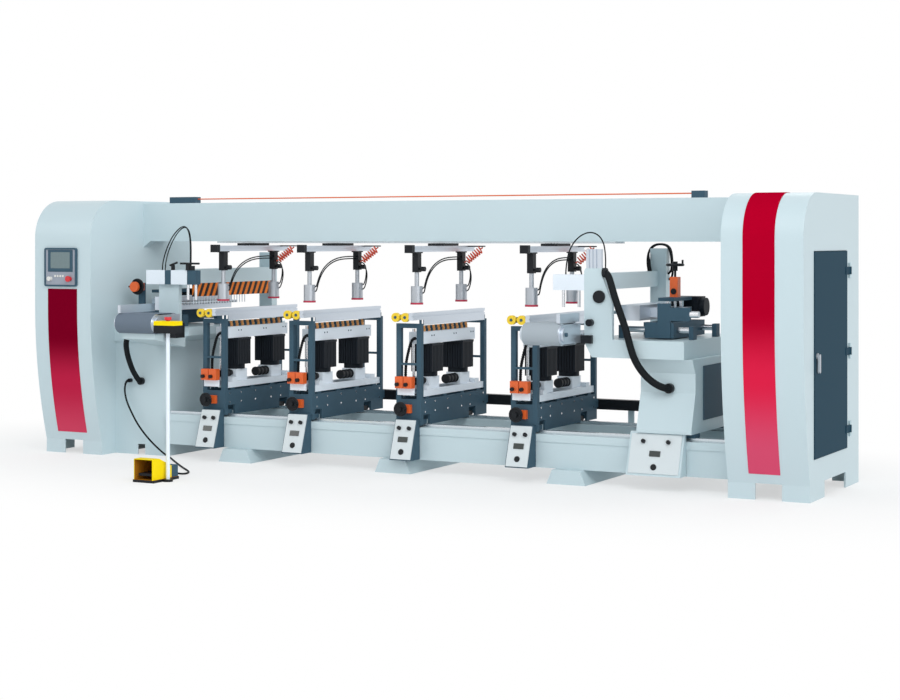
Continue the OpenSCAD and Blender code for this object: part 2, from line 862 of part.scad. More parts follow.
module cabinet_door() {
    color(slate) difference() {
        union() {
            difference() {
                block([outer_x + door_proud - door_t, door_y - door_w / 2, door_z],
                    [outer_x + door_proud, door_y + door_w / 2, door_z + door_h]);
                block([outer_x + door_proud - door_t - cut, door_y - door_w / 2 + door_sheet,
                    door_z + door_sheet],
                    [outer_x + door_proud - door_sheet, door_y + door_w / 2 - door_sheet,
                        door_z + door_h - door_sheet]);
            }
            rod_x([outer_x + door_proud - door_t, latch_y, latch_z], latch_boss_d, door_t);
            for (s = hinge_shares) {
                z = door_z + s * door_h;
                block([outer_x + door_proud, hinge_y - hinge_off - hinge_leaf_w, z - hinge_h / 4 + gap],
                    [outer_x + door_proud + hinge_leaf_t, hinge_y, z + hinge_h / 4 - gap]);
                rod_z([hinge_x, hinge_y, z - hinge_h / 4 + gap], hinge_d, hinge_h / 2 - 2 * gap);
            }
        }
        for (s = hinge_shares)
            rod_z([hinge_x, hinge_y, door_z + s * door_h - hinge_h / 2], pin_d + 2 * run_fit, hinge_h);
        rod_x([outer_x - door_t, latch_y, latch_z], latch_d + 2 * run_fit, 2 * door_t);
    }
}

module door_latch() {
    x = outer_x + door_proud + gap;
    color(chrome) {
        rod_x([outer_x + door_proud - door_t, latch_y, latch_z], latch_d, door_t + latch_disc_h);
        rod_x([x, latch_y, latch_z], latch_boss_d, latch_disc_h);
        translate([x + latch_disc_h, latch_y, latch_z - latch_l / 2 + latch_w / 2]) rotate([90, 0, 90])
            linear_extrude(latch_t) rounded(latch_w, latch_l, latch_w / 2 - seam);
    }
}

// Beam, bed and rails
module top_beam() {
    color(pale) difference() {
        block([-inner_x, beam_y, beam_z], [inner_x, beam_y + beam_d, beam_z1]);
        block([-inner_x - cut, beam_y + beam_wall, beam_z + beam_wall],
            [inner_x + cut, beam_y + beam_d - beam_wall, beam_z1 - beam_wall]);
    }
    color(pale) for (m = [0, 1]) mirror([m, 0, 0])
        translate([-inner_x, beam_y + gusset_t, beam_z - seam]) rotate([90, 0, 0])
            linear_extrude(gusset_t) polygon([[0, 0], [gusset_l, 0], [0, -gusset_h]]);
    color(slate) for (k = [0, 1])
        translate([line_block_x_shares[k] * inner_x, beam_y + (beam_d - line_block_d) / 2, beam_z1 + seam])
            cube([line_block_l[k], line_block_d, line_block_h]);
}

module guide_rails() {
    color(chrome) {
        for (s = [-1, 1])
            block([bed_x0 + seam, s * rail_y - rail_w / 2, bed_top + seam],
                [inner_x - seam, s * rail_y + rail_w / 2, rail_top]);
        for (y = [beam_y + beam_rail_in, beam_y + beam_d - beam_rail_in])
            block([left_face, y - beam_rail_w / 2, beam_z - beam_rail_h],
                [right_face, y + beam_rail_w / 2, beam_z - seam]);
    }
}

module bed_frame() {
    color(pale) for (s = [0, 1]) mirror([0, s, 0]) {
        block([bed_x0 + seam, -bed_d / 2, foot_h],
            [inner_x - seam, girder_w - bed_d / 2, bed_top - flange_h - seam]);
        block([bed_x0 + seam, -bed_d / 2 - flange_proud, bed_top - flange_h],
            [inner_x - seam, girder_w - bed_d / 2, bed_top]);
    }
    color(pale) for (s = sleeper_shares)
        translate([s * inner_x, bed_d / 2 + sleeper_out, 0]) rotate([90, 0, 0])
            linear_extrude(bed_d + 2 * sleeper_out)
            polygon([[-sleeper_w / 2, 0], [sleeper_w / 2, 0],
                [sleeper_top_w / 2, foot_h - seam], [-sleeper_top_w / 2, foot_h - seam]]);
    color(black) block([-tray_end_share * inner_x, tray_y, tray_z],
        [tray_end_share * inner_x, tray_y + tray_w, tray_z + tray_h]);
    color(pale) for (s = sleeper_shares) translate([s * inner_x - tray_bracket_w / 2, 0, 0]) {
        z = bed_top - flange_h - tray_bracket_t;
        block([0, bed_d / 2 + flange_proud + seam, z],
            [tray_bracket_w, tray_y + tray_w - tray_bracket_t, z + tray_bracket_t]);
        block([0, tray_y + tray_w - tray_bracket_t + seam, z],
            [tray_bracket_w, tray_y + tray_w, tray_z - seam]);
    }
}

// Vertical units
module side_plate() {
    along_x(plate_t) difference() {
        translate([unit_y0 + post_w, plate_z]) square([unit_y1 - unit_y0 - 2 * post_w, plate_h]);
        for (s = [-1, 1]) translate([s * rail_y - notch_w / 2, plate_z - cut])
            square([notch_w, notch_h + cut]);
    }
}

module control_box(w, front, y1) {
    slope = atan2(box_slope, box_top - box_bottom);
    color(slate) along_x(w) polygon([[y1, box_bottom], [y1, box_top], [y1 - front + box_slope, box_top],
        [y1 - front, box_bottom]]);
    panel_len = norm([box_slope, box_top - box_bottom]);
    translate([0, y1 - front, box_bottom]) rotate([-slope, 0, 0]) {
        color(white) block([box_edge_share * w, -box_panel_t - seam, box_edge_share * w],
            [w - box_edge_share * w, -seam, panel_len - box_edge_share * w]);
        color(black) for (k = box_knob_shares)
            rod_y([k[0] * w, -box_panel_t - 2 * seam - box_knob_h, k[1] * panel_len], box_knob_d,
                box_knob_h);
        color(black) translate([box_screen_place_share[0] * w, -box_panel_t - 2 * seam,
            box_screen_place_share[1] * panel_len])
            facing_front(screen_t)
                square([box_screen_share[0] * box_w, box_screen_share[1] * panel_len], center = true);
        color(black) rod_y([box_dial_place_share[0] * w, -box_panel_t - 2 * seam - screen_t,
            box_dial_place_share[1] * panel_len],
            box_dial_d, screen_t);
    }
}

module unit_frame(i) {
    half = unit_w / 2;
    translate([unit_x(i), 0, 0]) {
        color(slate) {
            for (m = [0, 1]) mirror([m, 0, 0]) {
                translate([half - plate_t, 0, 0]) side_plate();
                for (y = [unit_y0, unit_y1 - post_w])
                    block([half - post_w, y + seam, plate_z], [half, y + post_w - seam, post_top]);
                for (s = spacer_shares)
                    translate([half - pale_bar_in - pale_bar_w,
                        unit_y0 + post_w + s * (unit_y1 - unit_y0 - 2 * post_w) - spacer_w / 2,
                        plate_top + seam]) cube([pale_bar_w, spacer_w, spacer_h - 2 * seam]);
            }
            for (y = [unit_y0, unit_y1 - post_w]) {
                block([-half, y, post_top + seam], [half, y + post_w, post_top + tie_h]);
                z = plate_top + mid_tie_share * (post_top - plate_top);
                block([post_w - half + seam, y + seam, z],
                    [half - post_w - seam, y + post_w / 2, z + mid_tie_h]);
                block([post_w - half + seam, y + seam, plate_z],
                    [half - post_w - seam, y + front_plate_t, plate_top]);
            }
            for (s = [-1, 1])
                block([plate_t - half + seam, s * rail_y - shoe_w / 2, rail_top + gap],
                    [half - plate_t - seam, s * rail_y + shoe_w / 2, rail_top + gap + shoe_h]);
        }
        color(white) {
            for (m = [0, 1]) mirror([m, 0, 0])
                block([half - pale_bar_in - pale_bar_w, unit_y0 + post_w, bar_z],
                    [half - pale_bar_in, unit_y1 - post_w, bar_top]);
            for (s = [-1, 1]) {
                block([-lift_block_w / 2, head_y + s * motor_off - lift_block_l / 2, bar_top + seam],
                    [lift_block_w / 2, head_y + s * motor_off + lift_block_l / 2, lift_top]);
                y = head_y + s * (head_l / 2 - guide_end);
                block([-half + pale_bar_in, y - guide_block_w / 2, bar_top + seam],
                    [half - pale_bar_in, y + guide_block_w / 2, bar_top + guide_block_h]);
            }
            block([counter_xs_share[0] * unit_w - seam, unit_y0 - front_plate_t,
                counter_z - counter_plate_h],
                [unit_w / 4, unit_y0 - seam, counter_z - seam]);
        }
        color(chrome) for (s = [-1, 1])
            rod_z([guide_x, head_y + s * (head_l / 2 - guide_end), bar_top + guide_block_h + seam], guide_d,
                head_top + guide_over - bar_top - guide_block_h);
        for (s = counter_xs_share) translate([s * unit_w, unit_y0 - counter_t, counter_z]) {
            color(orange) cube([counter_w, counter_t - seam, counter_h]);
            color(black) rod_y([counter_knob_share * counter_w, -counter_knob_h - seam,
                counter_knob_share * counter_h], counter_knob_d, counter_knob_h);
        }
        color(orange) translate([hw_x_share * unit_w, unit_y0 - dial_t, wheel_z]) difference() {
            block([-hw_shaft_d, 0, -dial_w / 2], [dial_w, dial_t - seam, dial_w / 2]);
            rod_y([0, -cut, 0], hw_shaft_d + 2 * run_fit, dial_t + 2 * cut);
        }
        translate([-box_w / 2, 0, 0]) control_box(box_w, box_front, -bed_d / 2 - flange_proud - gap);
    }
}

module unit_table(i) {
    y0 = unit_y0 - table_over;
    z1 = work_h - table_drop;
    slot_z = z1 - table_h / 2 - slot_w / 2;
    translate([unit_x(i), 0, 0]) {
        color(alu) difference() {
            block([table_x, y0, z1 - table_h], [table_x + table_w, y0 + table_l, z1]);
            block([table_x + table_w - slot_d, y0 - cut, slot_z],
                [table_x + table_w + cut, y0 + table_l + cut, slot_z + slot_w]);
        }
        color(slate) for (y = [unit_y0 + post_w / 2, unit_y1 - post_w / 2])
            rod_z([table_x + table_w / 2, y, post_top + tie_h + seam], table_stud_d,
                z1 - table_h - post_top - tie_h - 2 * seam);
        translate([table_x - wheel_d / 2 - seam, y0, z1 - wheel_d / 2]) {
            color(slate) {
                block([-wheel_step - wheel_axle_d, wheel_t + seam, -wheel_arm_h / 2],
                    [wheel_d / 2, wheel_t + wheel_arm_w, wheel_arm_h / 2]);
                for (k = [0, 1]) rod_y([-k * wheel_step, -wheel_axle_out, 0], wheel_axle_d,
                    wheel_axle_out + wheel_t + wheel_arm_w);
            }
            color(yellow) for (k = [0, 1]) translate([-k * wheel_step, 0, 0]) difference() {
                rod_y([0, 0, 0], wheel_d, wheel_t);
                rod_y([0, -cut, 0], wheel_axle_d + 2 * seam, wheel_t + 2 * cut);
            }
        }
    }
}

module boring_head(i) {
    translate([unit_x(i), head_y, 0]) {
        color(white) difference() {
            block([-head_w / 2, -head_l / 2, head_z], [head_w / 2, head_l / 2, head_top]);
            for (s = [-1, 1]) rod_z([guide_x, s * (head_l / 2 - guide_end), head_z - cut],
                guide_d + 2 * run_fit, head_h + 2 * cut);
        }
        for (k = [0:spindle_n - 1]) color(k % 2 == 0 ? orange : slate)
            translate([0, (k - (spindle_n - 1) / 2) * spindle_pitch, head_top + seam]) chuck(chuck_h);
    }
}

module head_motors(i) {
    color(black) for (s = [-1, 1]) translate([unit_x(i), head_y + s * motor_off, motor_z]) {
        translate([0, 0, motor_cap_h]) motor(motor_w, motor_l);
        block([-motor_flange_w / 2, -motor_flange_w / 2, motor_l + seam],
            [motor_flange_w / 2, motor_flange_w / 2, motor_l + motor_flange_t - seam]);
    }
}

module unit_handwheel(i) {
    color(black) translate([unit_x(i) + hw_x_share * unit_w, unit_y0 - dial_t - hw_stand, wheel_z])
        rotate([90, 0, 0])
        wheel(hw_d, hw_rim, hw_rim, hw_hub_h, dial_t + hw_stand - hw_hub_h / 2 - gap);
}

// Clamps
foot_ys = [for (s = foot_shares) clamp_y0 + s * clamp_rail_l];

module clamp_bar(i) {
    translate([unit_x(i), 0, 0]) {
        color(alu) difference() {
            block([-clamp_rail_w / 2, clamp_y0, clamp_rail_z],
                [clamp_rail_w / 2, clamp_y0 + clamp_rail_l, clamp_rail_z + clamp_rail_h]);
            for (m = [0, 1]) mirror([m, 0, 0])
                block([clamp_rail_w / 2 - slot_d, clamp_y0 - cut,
                    clamp_rail_z + clamp_rail_h / 2 - slot_w / 2],
                    [clamp_rail_w, clamp_y0 + clamp_rail_l + cut,
                        clamp_rail_z + clamp_rail_h / 2 + slot_w / 2]);
        }
        color(slate) block([clamp_rail_w / 2 + seam, spiral_start[1] - arm_w / 2,
            clamp_rail_z + clamp_rail_h - arm_t],
            [spiral_start[0] + arm_over, spiral_start[1] + arm_w / 2, clamp_rail_z + clamp_rail_h]);
        color(slate) block([-clamp_end_w / 2, clamp_y0 - clamp_end_l,
            clamp_rail_z + (clamp_rail_h - clamp_end_h) / 2],
            [clamp_end_w / 2, clamp_y0 - seam, clamp_rail_z + (clamp_rail_h + clamp_end_h) / 2]);
        color(black) {
            block([-carriage_w / 2, beam_y + (beam_d - carriage_l) / 2, clamp_rail_z + clamp_rail_h + seam],
                [carriage_w / 2, beam_y + (beam_d + carriage_l) / 2, beam_z - beam_rail_h - gap]);
            translate([carriage_w / 2 + seam, beam_y + (beam_d - carriage_l) / 2 + lever_d,
                clamp_rail_z + clamp_rail_h + lever_d / 2 + seam]) {
                rod_x([0, 0, 0], lever_d, lever_knob_d);
                rotate([0, 0, -60]) rod_x([lever_knob_d / 2, 0, 0], lever_d, lever_l / 2);
            }
            for (y = foot_ys) translate([0, y, 0]) {
                difference() {
                    union() {
                        block([-bracket_w / 2, -bracket_l / 2, bracket_z],
                            [bracket_w / 2, bracket_l / 2, clamp_rail_z - seam]);
                        block([-bracket_w / 2, -bracket_flange_l / 2, clamp_rail_z - bracket_flange_t],
                            [bracket_w / 2, bracket_flange_l / 2, clamp_rail_z - seam]);
                    }
                    rod_z([0, 0, bracket_z - cut], rod_d + 2 * run_fit, bracket_h - bracket_flange_t + cut);
                }
                translate([bracket_w / 2 + seam, 0, bracket_z + knob_z_share * bracket_h]) {
                    rod_x([0, 0, 0], knob_neck_d, knob_h / 2);
                    rod_x([knob_h / 2, 0, 0], knob_d, knob_h);
                }
            }
        }
    }
}

module clamp_feet(i) {
    for (y = foot_ys) translate([unit_x(i), y, 0]) {
        color(chrome) {
            rod_z([0, 0, cyl_z], cyl_d, cyl_h);
            rod_z([0, 0, cyl_z + cyl_h], rod_d, clamp_rail_z - bracket_flange_t - gap - cyl_z - cyl_h);
            for (k = [0, 1]) rod_x([cyl_d / 2 - port_d / 2, 0, cyl_z + cyl_h - port_d - k * port_step],
                port_d, port_h);
        }
        color(red) rod_z([0, 0, foot_z], pad_d, pad_h - seam);
    }
}

// Spiral hose in its own frame: the curls climb along X, with straight ends one tube diameter long
spiral_l = spiral_n * spiral_pitch;
spiral_points = concat(
    [[-2 * spiral_tube_d, -spiral_r, 0], [-spiral_tube_d, -spiral_r, 0]],
    [for (k = [0:spiral_n * spiral_steps]) let (a = 360 * k / spiral_steps)
        [spiral_l * k / (spiral_n * spiral_steps), -spiral_r * cos(a), spiral_r * sin(a)]],
    [[spiral_l + spiral_tube_d, -spiral_r, 0], [spiral_l + 2 * spiral_tube_d, -spiral_r, 0]]);
spiral_gap = min([for (a = [0:len(spiral_points) - 1], b = [a + spiral_steps / 2:1:len(spiral_points) - 1])
    norm(spiral_points[a] - spiral_points[b])]) - spiral_tube_d;
echo(least_gap_of_spiral = spiral_gap);

spiral_run = spiral_l + 4 * spiral_tube_d;
spiral_way = [cos(spiral_tilt) * cos(spiral_turn), cos(spiral_tilt) * sin(spiral_turn), -sin(spiral_tilt)];
spiral_drop = spiral_tube_d / 2 * sqrt(1 - pow(spiral_way[0], 2)) + seam;
spiral_end = [bracket_w / 2 + spiral_drop, foot_ys[1],
    clamp_rail_z + clamp_rail_h - arm_t - spiral_drop - spiral_run * sin(spiral_tilt)];
spiral_start = spiral_end - spiral_run * spiral_way;

module thin_hose(start, end, lead, shares) {
    out = start + [thin_hose_d, 0, 0];
    tube(concat([start, out], [for (s = shares) between(out, end + [0, lead, 0], s)],
        [end + [0, lead, 0], end]), thin_hose_d, hose_sides);
}

module air_hoses(i) {
    x = cyl_d / 2 - port_d / 2 + port_h + seam;
    z = cyl_z + cyl_h - port_d;
    translate([unit_x(i), 0, 0]) {
        color(red) translate(spiral_start) rotate([0, spiral_tilt, spiral_turn])
            translate([2 * spiral_tube_d, spiral_r, 0]) tube(spiral_points, spiral_tube_d, spiral_sides);
        color(black) {
            for (k = [0, 1]) {
                thin_hose([x, foot_ys[0], z - k * port_step], [(1 - 2 * k) * thin_hose_end_x,
                    foot_ys[1] - bracket_l / 2 - seam,
                    bracket_z + thin_hose_up_share * bracket_h - k * port_step / 2],
                    -hose_lead, thin_hose_shares);
                thin_hose([x, foot_ys[1], z - k * port_step], [(1 - 2 * k) * thin_hose_end_x,
                    foot_ys[1] + bracket_l / 2 + seam,
                    bracket_z + back_hose_up_share * bracket_h - k * port_step / 2], hose_lead,
                    [for (s = back_hose_shares) [s[0], s[1] * (1 + k * back_hose_spread), s[2]]]);
            }
        }
    }
}

// Horizontal units, in a frame with X behind the face and the drills along -X
module left_side() { translate([left_face, 0, 0]) mirror([1, 0, 0]) children(); }
module right_side() { translate([right_face, 0, 0]) children(); }

module hz_bars() {
    color(chrome) for (s = [-1, 1])
        rod_x([hz_bar_x0 + seam, s * hz_bar_y, hz_bar_z], bar_d, hz_bar_x1 - hz_bar_x0 - 2 * seam);
    color(slate) for (s = [-1, 1], x = [hz_bar_x0 - hz_end_t, hz_bar_x1])
        block([x, s * hz_bar_y - hz_end_w / 2, hz_table_z + seam],
            [x + hz_end_t, s * hz_bar_y + hz_end_w / 2, hz_bar_z + hz_end_over]);
}

module hz_cross(tower_h, y1) {
    z = drill_z + cross_rise;
    color(pale) {
        block([cross_x, cross_y0 + seam, z], [cross_x + cross_w, y1 - tower_d - seam, z + cross_h]);
        block([tower_x, y1 - tower_d, hz_table_z + seam], [tower_x + tower_w, y1, hz_table_z + tower_h]);
    }
}

module hz_slide_base() {
    color(slate) {
        difference() {
            block([slide_x, -slide_w / 2, hz_bar_z - slide_below],
                [slide_x + slide_l, slide_w / 2, hz_bar_z + slide_above]);
            for (s = [-1, 1]) rod_x([slide_x - cut, s * hz_bar_y, hz_bar_z], bar_d + 2 * run_fit,
                slide_l + 2 * cut);
        }
        block([col_x - yoke_l / 2, -yoke_w / 2, drill_z + yoke_rise],
            [col_x + yoke_l / 2, yoke_w / 2, drill_z + yoke_rise + yoke_t]);
    }
    color(chrome) {
        for (s = [-1, 1]) rod_z([col_x, s * col_y, hz_bar_z + slide_above + seam], col_d,
            drill_z + yoke_rise - hz_bar_z - slide_above - 2 * seam);
        rod_z([col_x, 0, hz_bar_z + slide_above + seam], screw_d,
            drill_z + yoke_rise - hz_bar_z - slide_above - 2 * seam);
    }
}

module hz_head() {
    color(alu) difference() {
        union() {
            block([case_x, hz_head_y - head_l / 2, drill_z - case_h / 2],
                [case_x + case_l, hz_head_y + head_l / 2, drill_z + case_h / 2]);
            block([case_x + case_l, -block_w / 2, drill_z - block_below],
                [case_x + case_l + block_l, block_w / 2, drill_z + block_above]);
        }
        for (s = [-1, 1]) rod_z([col_x, s * col_y, drill_z - case_h], col_d + 2 * run_fit, 2 * case_h);
        rod_z([col_x, 0, drill_z - case_h], screw_d + 2 * run_fit, 2 * case_h);
    }
    color(chrome) for (k = [0:spindle_n - 1])
        translate([case_x - seam, hz_head_y + (k - (spindle_n - 1) / 2) * spindle_pitch, drill_z])
            rotate([0, -90, 0]) chuck(hz_chuck_l);
    color(black) translate([case_x + case_l + seam, hz_motor_y, drill_z + hz_motor_rise]) rotate([0, 90, 0])
        mirror([0, 0, 1])
        translate([0, 0, motor_cap_h - hz_motor_l]) motor(hz_motor_w, hz_motor_l);
}

// Left horizontal unit
module left_pedestal() {
    color(black) rod_y([gland_x, -ped_d / 2 - gland_l - seam, cord_points[0][2]], gland_d, gland_l);
    left_side() {
        back = left_face_in;
        front = back - ped_w;
        top = hz_table_z - ped_top_drop;
        color(pale) difference() {
            block([front, -ped_d / 2, 0], [back, ped_d / 2, top]);
            block([front + ped_wall, ped_wall - ped_d / 2, -cut],
                [back - ped_wall, ped_d / 2 - ped_wall, top - ped_wall]);
            block([(front + back - ped_pocket_w) / 2, -ped_d, -cut],
                [(front + back + ped_pocket_w) / 2, 0, ped_pocket_h]);
        }
        color(pale) difference() {
            translate([0, left_y1, 0]) rotate([90, 0, 0]) linear_extrude(left_y1 + table_front) polygon([
                [back, top + seam], [back, hz_table_z], [-table_over_x, hz_table_z],
                [-table_over_x, (top + hz_table_z) / 2], [front, top + seam]]);
            block([front + table_skin, table_skin - table_front, top - cut],
                [back - table_skin, left_y1 - table_skin, hz_table_z - 2 * table_skin]);
        }
        color(pale) block([front_post_x[0], -table_front, hz_table_z + seam],
            [front_post_x[1], front_post_t - table_front, drill_z + bridge_rise - seam]);
        bridge_l = bridge_x[1] - bridge_x[0];
        for (k = [0:3]) color(k % 2 == 0 ? slate : white)
            block([bridge_x[0] + bridge_shares[k] * bridge_l + seam, -table_front - front_post_t,
                drill_z + bridge_rise],
                [bridge_x[0] + bridge_shares[k + 1] * bridge_l, bridge_t - table_front - front_post_t,
                    drill_z + bridge_rise + bridge_h]);
        color(chrome) for (x = [(front_post_x[0] + bridge_x[0]) / 2, bridge_x[0] + hold_rod_d])
            rod_z([x, bridge_t / 2 - table_front - front_post_t, drill_z + bridge_rise - hold_rod_l],
                hold_rod_d, hold_rod_l - seam);
        hz_bars();
        hz_cross(left_tower_h, left_y1);
    }
}

module left_guard() {
    z1 = drill_z + cross_rise - seam;
    left_side() {
        color(orange) block([cross_x, guard_y0, z1 - guard_h],
            [cross_x + guard_t, left_y1 - tower_d - seam, z1]);
        color(alu) for (k = [1:spindle_n - 1])
            rod_z([cross_x + guard_t / 2, hz_head_y + (k - spindle_n / 2) * spindle_pitch,
                work_h + finger_low],
                finger_d, z1 - guard_h - work_h - finger_low - seam);
    }
}

module left_slide() {
    color(slate) left_side() {
        hz_slide_base();
        difference() {
            block([col_x + hz_counter_w / 2, -slide_w / 2, hz_bar_z + slide_above + seam],
                [col_x + hz_counter_w * 3 / 2, plate_t - slide_w / 2,
                    drill_z + hz_wheel_d + hz_counter_w / 2]);
            rod_y([col_x + hz_counter_w, -slide_w, drill_z + hz_wheel_d], hw_shaft_d + 2 * run_fit,
                slide_w);
        }
        color(orange) difference() {
            translate([col_x + hz_counter_w / 2, -slide_w / 2 - hz_counter_w / 2 - seam,
                drill_z + hz_wheel_d - hz_counter_w / 2])
                cube([hz_counter_w, hz_counter_w / 2, hz_counter_w]);
            rod_y([col_x + hz_counter_w, -slide_w, drill_z + hz_wheel_d], hw_shaft_d + 2 * run_fit,
                slide_w);
        }
    }
}

module left_handwheel() {
    color(black) left_side()
        translate([col_x + hz_counter_w, -slide_w / 2 - hz_counter_w / 2 - hw_hub_h / 2 - gap - seam,
        drill_z + hz_wheel_d])
        rotate([90, 0, 0]) {
            wheel(hz_wheel_d, hz_wheel_rim, hz_wheel_rim, hw_hub_h, hz_counter_w / 2);
            color(orange) rod_z([0, 0, hw_hub_h / 2 + seam], wheel_dial_d, wheel_dial_h);
        }
}

module left_head() { left_side() hz_head(); }

// Conveyor in a frame with X from its outer side to its inner side and Z from the work surface
module conveyor(w, fence) {
    z = work_h - conv_drop;
    zc = z - drum_d / 2 - belt_t;
    span = conv_front - conv_rear;
    body_w = w - 2 * conv_boss_h - 2 * conv_axle_h;
    translate([conv_boss_h + conv_axle_h, -conv_front, zc]) {
        color(chrome) for (y = [0, span])
            rod_x([conv_plate_t + seam, y, 0], drum_d, body_w - 2 * conv_plate_t - 2 * seam);
        color(black) translate([conv_plate_t + 2 * seam, 0, 0])
            along_x(body_w - 2 * conv_plate_t - 4 * seam) difference() {
            union() {
                for (y = [0, span]) translate([y, 0]) circle(d = drum_d + 2 * belt_t, $fn = round_fn);
                translate([0, -drum_d / 2 - belt_t]) square([span, drum_d + 2 * belt_t]);
            }
            for (y = [0, span]) translate([y, 0]) circle(d = drum_d + 2 * seam, $fn = round_fn);
            translate([0, -drum_d / 2 - seam]) square([span, drum_d + 2 * seam]);
        }
        color(alu) for (x = [0, body_w - conv_plate_t]) translate([x, 0, 0]) along_x(conv_plate_t) {
            circle(d = drum_d - 2 * conv_plate_in, $fn = round_fn);
            translate([0, conv_plate_in - drum_d / 2])
                square([span + drum_d / 2 + belt_t, drum_d - 2 * conv_plate_in]);
        }
        color(alu) for (x = [-conv_boss_h - seam, body_w + seam])
            rod_x([x, 0, 0], conv_boss_d, conv_boss_h);
        color(slate) for (x = [-conv_boss_h - conv_axle_h - 2 * seam, body_w + conv_boss_h + 2 * seam])
            rod_x([x, 0, 0], conv_axle_d, conv_axle_h);
    }
    color(alu) block([conv_boss_h + conv_axle_h + conv_plate_t, -conv_front - fence_front, z + seam],
        [conv_boss_h + conv_axle_h + conv_plate_t + fence_t, fence - conv_front - fence_front,
            work_h + fence_rise]);
}

module left_conveyor() {
    translate([left_face - conv_x0, 0, 0]) {
        conveyor(left_conv_w, fence_l);
        z = work_h - conv_drop - drum_d - 2 * belt_t - seam;
        color(pale) translate([conv_bracket_share * left_conv_w, 0, 0])
            along_x(left_conv_w - 2 * conv_bracket_share * left_conv_w) polygon([
                [-table_front - seam, z - conv_bracket_h], [-table_front - seam, z], [-conv_front, z],
                [-conv_front, z - conv_bracket_nose]]);
        color(black) translate([left_conv_w - conv_boss_h - conv_axle_h + seam, conv_boss_d - conv_front,
            work_h - conv_drop - gear_h - drum_d / 2]) cube([gear_w, gear_l, gear_h]);
    }
}

module right_conveyor() {
    z = work_h - conv_drop - drum_d - belt_t;
    right_side() translate([-conv_reach, 0, 0]) {
        translate([conv_w, 0, 0]) mirror([1, 0, 0]) conveyor(conv_w, fence_l - gear_l);
        color(black) block([conv_w - gear_w, drum_d / 2 + belt_t + seam - conv_rear, z],
            [conv_w + gear_w / 2, -right_table_front - rplate_t / 2 - 2 * seam, z + gear_h / 2]);
    }
}

// Right horizontal unit
module right_column() {
    x1 = col_x0 + column_w;
    table_x1 = x1 - right_table_in;
    y = -right_table_front - seam;
    top = hz_table_z - ped_top_drop;
    z0 = rail_top + gap + shoe_h + seam;
    right_side() {
        color(pale) difference() {
            translate([col_x0, 0, 0]) along_x(column_w) polygon([[col_front, z0], [col_front, top],
                [-right_table_front, top], [-col_front, top - col_skirt],
                [-col_front, top - col_flare_drop],
                [-col_front - col_flare, col_flare_z], [-col_front - col_flare, z0]]);
            block([col_x0 + ped_wall, ped_wall - col_front, z0 + ped_wall],
                [x1 - ped_wall, col_front - ped_wall, top - ped_wall]);
        }
        color(slate) for (s = [-1, 1])
            block([col_x0, s * rail_y - shoe_w / 2, rail_top + gap],
                [x1, s * rail_y + shoe_w / 2, rail_top + gap + shoe_h]);
        color(slate) block([x1 + seam, (cover_share[0][0] - 1 / 2) * 2 * col_front,
            z0 + cover_share[0][1] * (top - z0)],
            [x1 + cover_t, (cover_share[1][0] - 1 / 2) * 2 * col_front,
                z0 + cover_share[1][1] * (top - z0)]);
        color(pale) difference() {
            translate([0, hz_y1, 0]) rotate([90, 0, 0]) linear_extrude(hz_y1 - y + rplate_t / 2) polygon([
                [table_x1, top + seam], [table_x1, hz_table_z], [rplate_x, hz_table_z],
                [rplate_x, top + table_chamfer[1]], [rplate_x + table_chamfer[0], top + seam]]);
            block([col_x0 + table_skin, table_skin - right_table_front, top - cut],
                [table_x1 - table_skin, hz_y1 - table_skin, hz_table_z - 2 * table_skin]);
        }
        color(pale) translate([rplate_x, y, rplate_z]) facing_front(rplate_t / 2)
            polygon([for (s = rplate_shares) [s[0] * rplate_w, s[1] * rplate_h]]);
        color(alu) difference() {
            block([rtop_x, y - rplate_t / 2, rplate_z + rplate_h + seam],
                [rtop_x + rtop_w, y, rplate_z + rplate_h + rtop_h]);
            for (s = rtop_groove_shares)
                block([rtop_x + s * rtop_w, y - rplate_t, rplate_z + rplate_h],
                [rtop_x + s * rtop_w + slot_w, y - rplate_t / 2 + slot_d,
                rplate_z + rplate_h + rtop_h + cut]);
        }
        color(black) {
            rod_y([rplate_x + cap_share[0] * rplate_w, y - rplate_t / 2 - cap_h - seam,
                rplate_z + cap_share[1] * rplate_h], cap_d, cap_h);
            rod_y([rplate_x + rknob_share[0] * rplate_w, y - rplate_t / 2 - rknob_h - seam,
                rplate_z + rknob_share[1] * rplate_h], rknob_d, rknob_h);
        }
        color(white) block([rplate_x - rclamp_l, y - rplate_t / 2, drill_z + rclamp_rise],
            [rplate_x - seam, y - rplate_t / 2 + rclamp_t, drill_z + rclamp_rise + rclamp_h]);
        color(chrome) for (s = [1 / 4, 3 / 4])
            rod_z([rplate_x - s * rclamp_l, y - rplate_t / 2 + rclamp_t / 2,
                drill_z + rclamp_rise - hold_rod_l], hold_rod_d, hold_rod_l - seam);
        color(pale) block([cross_x, y + seam, drill_z + cross_rise],
            [cross_x + cross_w, cross_y0 - seam, drill_z + cross_rise + cross_h]);
        hz_bars();
        hz_cross(right_tower_h, hz_y1);
        translate([right_box_x, 0, 0])
            control_box(right_box_w, right_box_front, -bed_d / 2 - flange_proud - gap);
    }
}

